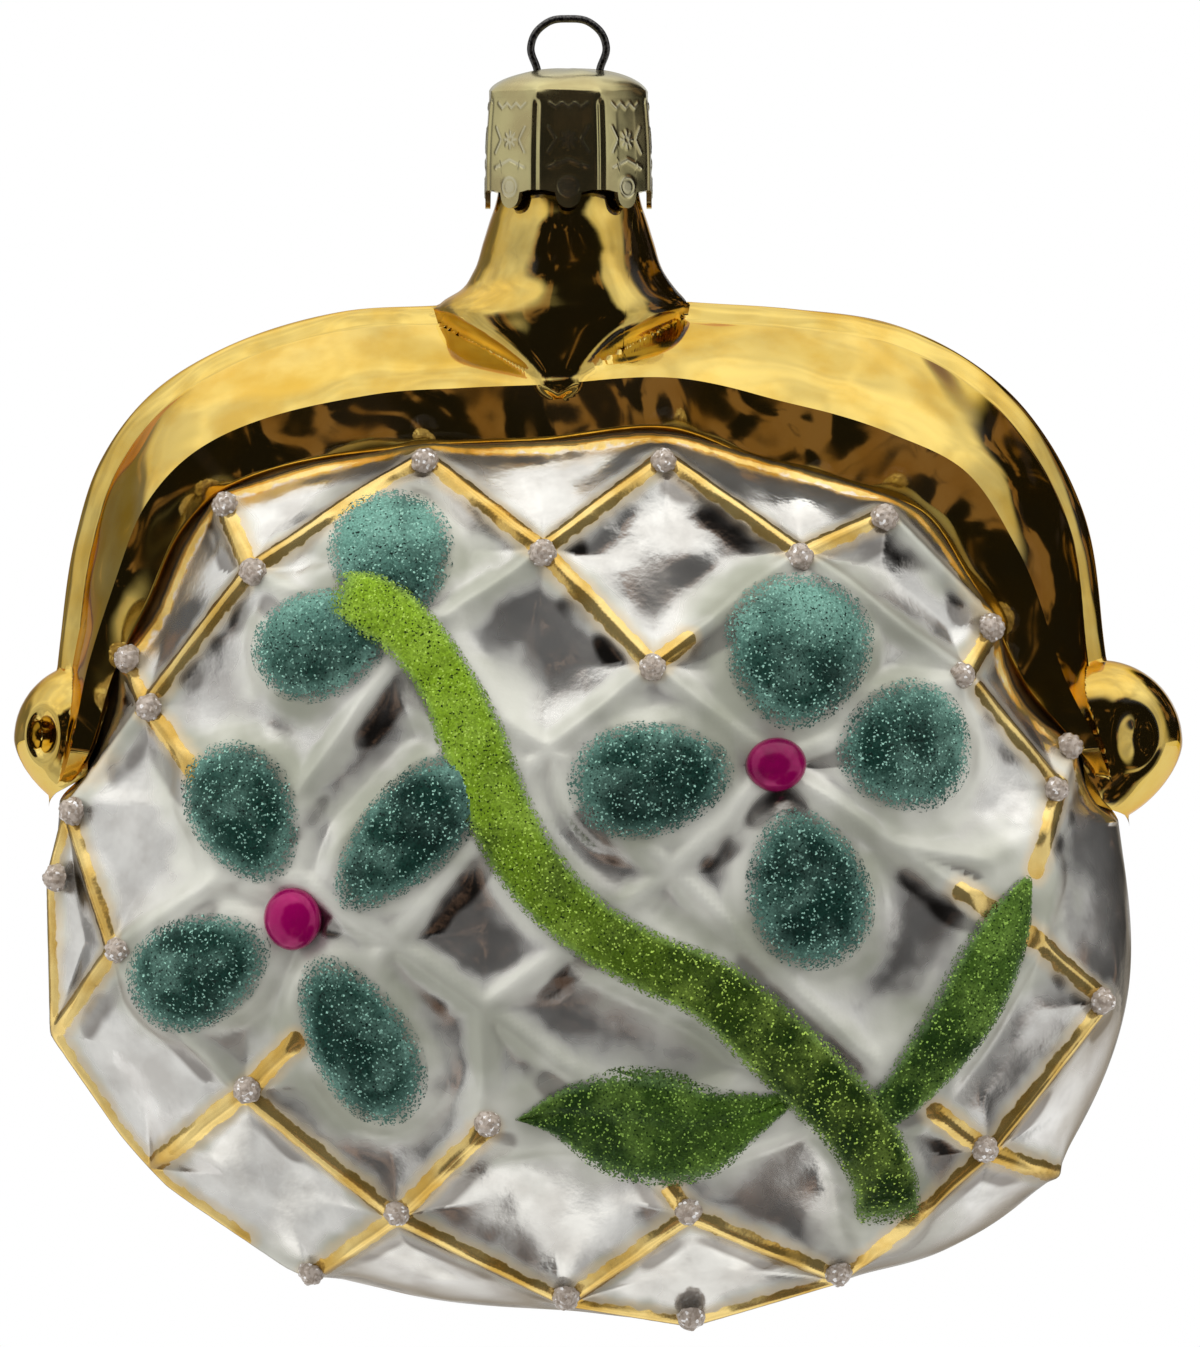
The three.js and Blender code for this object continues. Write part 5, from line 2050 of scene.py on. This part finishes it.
@dataclass
class GritBeads:
    """Domes of clear micro-beads in glue on the crossings of the quilting."""

    form: PurseForm
    radius: float = 1.15
    height: float = 1.6
    grain_radius: float = 0.24
    grains: int = 70
    grain_sink: float = 0.5
    grain_share: float = 0.55
    skin: float = 0.1
    size_spread: float = 0.06
    dome_share: float = 0.8
    foot_share: float = 0.4
    lean: float = 0.9
    seat: float = 0.45
    segments: int = 40
    rings: int = 28
    front_seed: int = 101
    back_seed: int = 201

    def grain(self, unit: Array, dice: np.random.Generator) -> Array:
        """Height of the grains over a ball.

        Args:
            unit: places on the ball.
            dice: where the grains' places come from.

        Returns:
            The heights in millimetres.
        """
        seeds = dice.normal(size=(self.grains, 3))
        seeds /= np.linalg.norm(seeds, axis=1, keepdims=True)
        gap = np.min(np.linalg.norm(unit[:, None, :] - seeds[None, :, :], axis=2), axis=1) * self.radius
        round_top = np.sqrt(np.clip(self.grain_radius**2 - gap**2, 0.0, None))
        return round_top - self.grain_sink * self.grain_radius

    def seated(self, crossing: tuple[float, float], side: Side) -> tuple[Array, Array]:
        """Where a bead sits, moved off its crossing so that its top stands over it from the front.

        Args:
            crossing: the crossing's place.
            side: the face of the purse.

        Returns:
            The bead's place in metres, and its ways to the right, over and out as rows.
        """
        _, out = self.form.on_glass(np.array([crossing[0]]), np.array([crossing[1]]), side)
        lean = out[0] * self.lean
        place, out = self.form.on_glass(
            np.array([crossing[0] - lean[0]]), np.array([crossing[1] - lean[2]]), side
        )
        right = np.cross([0.0, 0.0, 1.0], out[0])
        right /= np.linalg.norm(right)
        return place[0], np.stack([right, np.cross(out[0], right), out[0]])

    def bead(self, name: str, crossing: tuple[float, float], side: Side, seed: int) -> Piece:
        """One dome on one crossing.

        Args:
            name: the piece's name.
            crossing: its place.
            side: the face of the purse.
            seed: seed of its grains.

        Returns:
            The bead.
        """
        dice = np.random.default_rng(seed)
        piece = ball(name, self.segments, self.rings)
        unit = points_of(piece)
        bump = self.grain(unit, dice)
        size = (self.radius - self.skin) * (1 + dice.uniform(-self.size_spread, self.size_spread))
        local = unit * (size + self.grain_share * bump)[:, None]
        high = local[:, 2] * self.height / self.radius * self.dome_share
        local[:, 2] = np.where(local[:, 2] > 0, high, local[:, 2] * self.foot_share)
        place, (right, over, up) = self.seated(crossing, side)
        points = local[:, :1] * right + local[:, 1:2] * over + local[:, 2:] * up + self.seat * up
        move_points(piece, place + points * MM)
        weld_and_close(piece, FINE_WELD, False)
        smooth(piece, 80.0)
        return piece

    def build(self) -> None:
        """Make the front beads one by one and the back beads as one piece."""
        for i, name in enumerate(BEADED):
            piece = self.bead(f"grit_{name}", CROSSINGS[name], Side.FRONT, self.front_seed + i)
            dress(piece, GRIT, "ornament", (f"bead_{i + 1:02d}",))
        backs = [
            self.bead(f"back_grit_{name}", CROSSINGS[name], Side.BACK, self.back_seed + i)
            for i, name in enumerate(BEADED)
        ]
        clear_selection()
        for piece in backs:
            piece.select_set(True)
        bpy.context.view_layer.objects.active = backs[0]
        bpy.ops.object.join()
        joined = take_new("back_grit_beads")
        dress(joined, GRIT, "ornament")


@dataclass(frozen=True)
class RoomPatch:
    """A part of the room that mirrors show, with its angles in degrees as seen from the ornament."""

    azimuth: float
    elevation: float
    half_angle: float
    depth: float = 1.0

    def way(self) -> tuple[float, float, float]:
        """The direction of its middle."""
        turn, rise = math.radians(self.azimuth), math.radians(self.elevation)
        return math.sin(turn) * math.cos(rise), -math.cos(turn) * math.cos(rise), math.sin(rise)


class SoftBox(NamedTuple):
    """A square soft light: its place and size in metres and its power in watts."""

    place: tuple[float, float, float]
    size: float
    power: float


SOFT_BOXES = {
    "left_box": SoftBox((-0.62, -0.30, 0.12), 0.40, 1.3),
    "right_box": SoftBox((0.66, -0.22, 0.04), 0.34, 0.8),
    "top_box": SoftBox((-0.10, -0.34, 0.60), 0.46, 2.0),
}
WHITE = (1.0, 1.0, 1.0)


@dataclass
class Studio:
    """Camera, soft lights, a pale floor and the room round them."""

    frame_height: float = 104.4
    aim: tuple[float, float, float] = (2.44, 0.0, -50.5)
    distance: float = 2400.0
    sensor_height: float = 36.0
    nearest: float = 0.01
    floor_z: float = -150.0
    floor_front: float = 20.0
    floor_back: float = 520.0
    floor_width: float = 1.4
    floor_shade: float = 0.8
    white_share: float = 0.92
    dark_corners: tuple[RoomPatch, ...] = (
        RoomPatch(0, -4, 48), RoomPatch(60, -44, 30), RoomPatch(126, 18, 34), RoomPatch(-136, -5, 32, 0.6),
    )
    warm_patch: RoomPatch = RoomPatch(0, -36, 24, 0.10)
    glint: RoomPatch = RoomPatch(-18, 58, 6)
    dark_softness: float = 5.0
    dark_wander: float = 0.05
    gloom: Colour = (0.010, 0.009, 0.008)
    warm_streak: Colour = (0.24, 0.15, 0.10)
    walls: Colour = (0.69, 0.69, 0.68)
    ceiling: Colour = (1.34, 1.33, 1.29)
    table: Colour = (1.15, 1.14, 1.10)
    glint_light: Colour = (7.0, 6.9, 6.7)
    side_light: Colour = (0.74, 0.74, 0.75)
    top_light: Colour = (1.10, 1.09, 1.06)

    def build(self) -> None:
        """Set up the camera, the floor and the lights."""
        bpy.context.scene.view_settings.view_transform = "Standard"
        self.add_camera()
        self.add_floor()
        self.add_lights()
        self.add_world()

    def add_camera(self) -> None:
        """A long lens straight in front of the ornament."""
        clear_selection()
        place = (self.aim[0] * MM, -self.distance * MM, self.aim[2] * MM)
        bpy.ops.object.camera_add(location=place, rotation=(math.pi / 2, 0.0, 0.0))
        camera = bpy.context.object
        camera.data.sensor_fit = "VERTICAL"
        camera.data.sensor_height = self.sensor_height
        camera.data.lens = self.sensor_height * self.distance / self.frame_height
        camera.data.clip_start = self.nearest
        bpy.context.scene.camera = camera

    def stage_material(self, name: str, shade: float) -> bpy.types.Material:
        """White to the camera and in reflections, with some shadow kept, and pale to the light.

        Args:
            name: the material's name.
            shade: how pale it is to the light.

        Returns:
            The material.
        """
        material = bpy.data.materials.new(name)
        material.use_nodes = True
        t = NodeTree(material.node_tree)
        material.node_tree.nodes.remove(material.node_tree.nodes["Principled BSDF"])
        diffuse = t.add("ShaderNodeBsdfDiffuse")
        diffuse.inputs["Color"].default_value = (shade, shade, shade, 1.0)
        glow = t.add("ShaderNodeEmission")
        glow.inputs["Color"].default_value = (*WHITE, 1.0)
        rays = t.add("ShaderNodeLightPath")
        seen = t.math("MAXIMUM", rays.outputs["Is Camera Ray"], rays.outputs["Is Glossy Ray"])
        seen = t.math("MAXIMUM", seen, rays.outputs["Is Transmission Ray"])
        blend = t.add("ShaderNodeMixShader")
        t.join(t.math("MULTIPLY", seen, self.white_share), blend.inputs[0])
        t.join(diffuse.outputs[0], blend.inputs[1])
        t.join(glow.outputs[0], blend.inputs[2])
        t.join(blend.outputs[0], material.node_tree.nodes["Material Output"].inputs["Surface"])
        return material

    def add_floor(self) -> None:
        """A pale floor under the hanging ornament."""
        clear_selection()
        middle = (self.floor_front + self.floor_back) / 2
        bpy.ops.mesh.primitive_plane_add(size=1.0, location=(0.0, middle * MM, self.floor_z * MM))
        floor = take_new("floor")
        floor.scale = (self.floor_width, (self.floor_back - self.floor_front) * MM, 1.0)
        bpy.ops.object.transform_apply(location=True, rotation=True, scale=True)
        floor.data.materials.append(self.stage_material("pale_floor", self.floor_shade))

    def add_lights(self) -> None:
        """Soft boxes left, right and above, which no mirror shows."""
        for name, box in SOFT_BOXES.items():
            clear_selection()
            bpy.ops.object.light_add(type="AREA", location=box.place)
            light = bpy.context.object
            light.name = name
            light.data.shape = "SQUARE"
            light.data.size = box.size
            light.data.energy = box.power
            light.visible_glossy = False
            aim = np.array(self.aim) * MM - np.array(box.place)
            pitch = math.acos(-aim[2] / np.linalg.norm(aim))
            light.rotation_euler = (pitch, 0.0, math.atan2(aim[1], aim[0]) - math.pi / 2)

    def cone(self, t: NodeTree, way: Socket, wander: Socket,
             corner: RoomPatch) -> Socket:
        """A soft-edged mask round one direction.

        Args:
            t: the world's nodes.
            way: the direction that is looked in.
            wander: how far the edge strays there.
            corner: the direction, its reach and its depth.

        Returns:
            The corner's depth inside, nothing outside.
        """
        half = math.radians(corner.half_angle)
        soft = math.sin(half) * math.radians(self.dark_softness)
        near = t.math("ADD", t.vector("DOT_PRODUCT", way, corner.way()), wander)
        return t.span(near, math.cos(half) - soft, math.cos(half) + soft, 0.0, corner.depth)

    def mirrored(self, t: NodeTree, way: Socket, rise: Socket) -> Socket:
        """What mirrors show of the room: pale walls, a light ceiling, the table and dark corners.

        Args:
            t: the world's nodes.
            way: the direction that is looked in.
            rise: how far up it goes, from -1 to 1.

        Returns:
            The colour.
        """
        wander = t.span(t.noise(1.7, 2.0, way), 0.25, 0.75, -self.dark_wander, self.dark_wander)
        dark = 0.0
        for corner in self.dark_corners:
            dark = t.math("MAXIMUM", dark, self.cone(t, way, wander, corner))
        warm = t.math("ADD", t.noise(5.0, 3.0, way), self.cone(t, way, wander, self.warm_patch))
        gloom = t.mix(t.span(warm, 0.57, 0.64), self.gloom, self.warm_streak)
        sides = t.mix(t.span(rise, 0.30, 0.92), self.walls, self.ceiling)
        clouded = t.add("ShaderNodeHueSaturation")
        t.join(t.mix(t.span(rise, -0.80, -0.95), sides, self.table), clouded.inputs["Color"])
        t.join(t.span(t.noise(2.6, 2.0, way), 0.3, 0.7, 0.75, 1.1), clouded.inputs["Value"])
        seen = t.mix(dark, clouded.outputs[0], gloom)
        return t.mix(self.cone(t, way, wander, self.glint), seen, self.glint_light)

    def add_world(self) -> None:
        """A pale room for the light, and in mirrors the same room with its dark corners."""
        world = bpy.data.worlds.new("pale_room")
        world.use_nodes = True
        bpy.context.scene.world = world
        t = NodeTree(world.node_tree)
        background = world.node_tree.nodes["Background"]
        way = t.add("ShaderNodeTexCoord").outputs["Generated"]
        split = t.add("ShaderNodeSeparateXYZ")
        t.join(way, split.inputs[0])
        rise = split.outputs["Z"]
        light = t.mix(t.span(rise, 0.35, 0.85), self.side_light, self.top_light)
        rays = t.add("ShaderNodeLightPath")
        room = t.mix(rays.outputs["Is Glossy Ray"], light, self.mirrored(t, way, rise))
        t.join(t.mix(rays.outputs["Is Camera Ray"], room, WHITE), background.inputs["Color"])
        background.inputs["Strength"].default_value = 1.0


def main() -> None:
    """Build the ornament and its studio, and report each piece."""
    logging.basicConfig(level=logging.INFO, format="%(name)s %(message)s")
    form = PurseForm()
    Studio().build()
    QuiltedPouch(form).build()
    ClaspFrame(form).build()
    PressedCap().build()
    HangerWire().build()
    for side in Side:
        FlowerSpray(form, side).build()
    GritBeads(form).build()


if __name__ == "__main__":
    main()
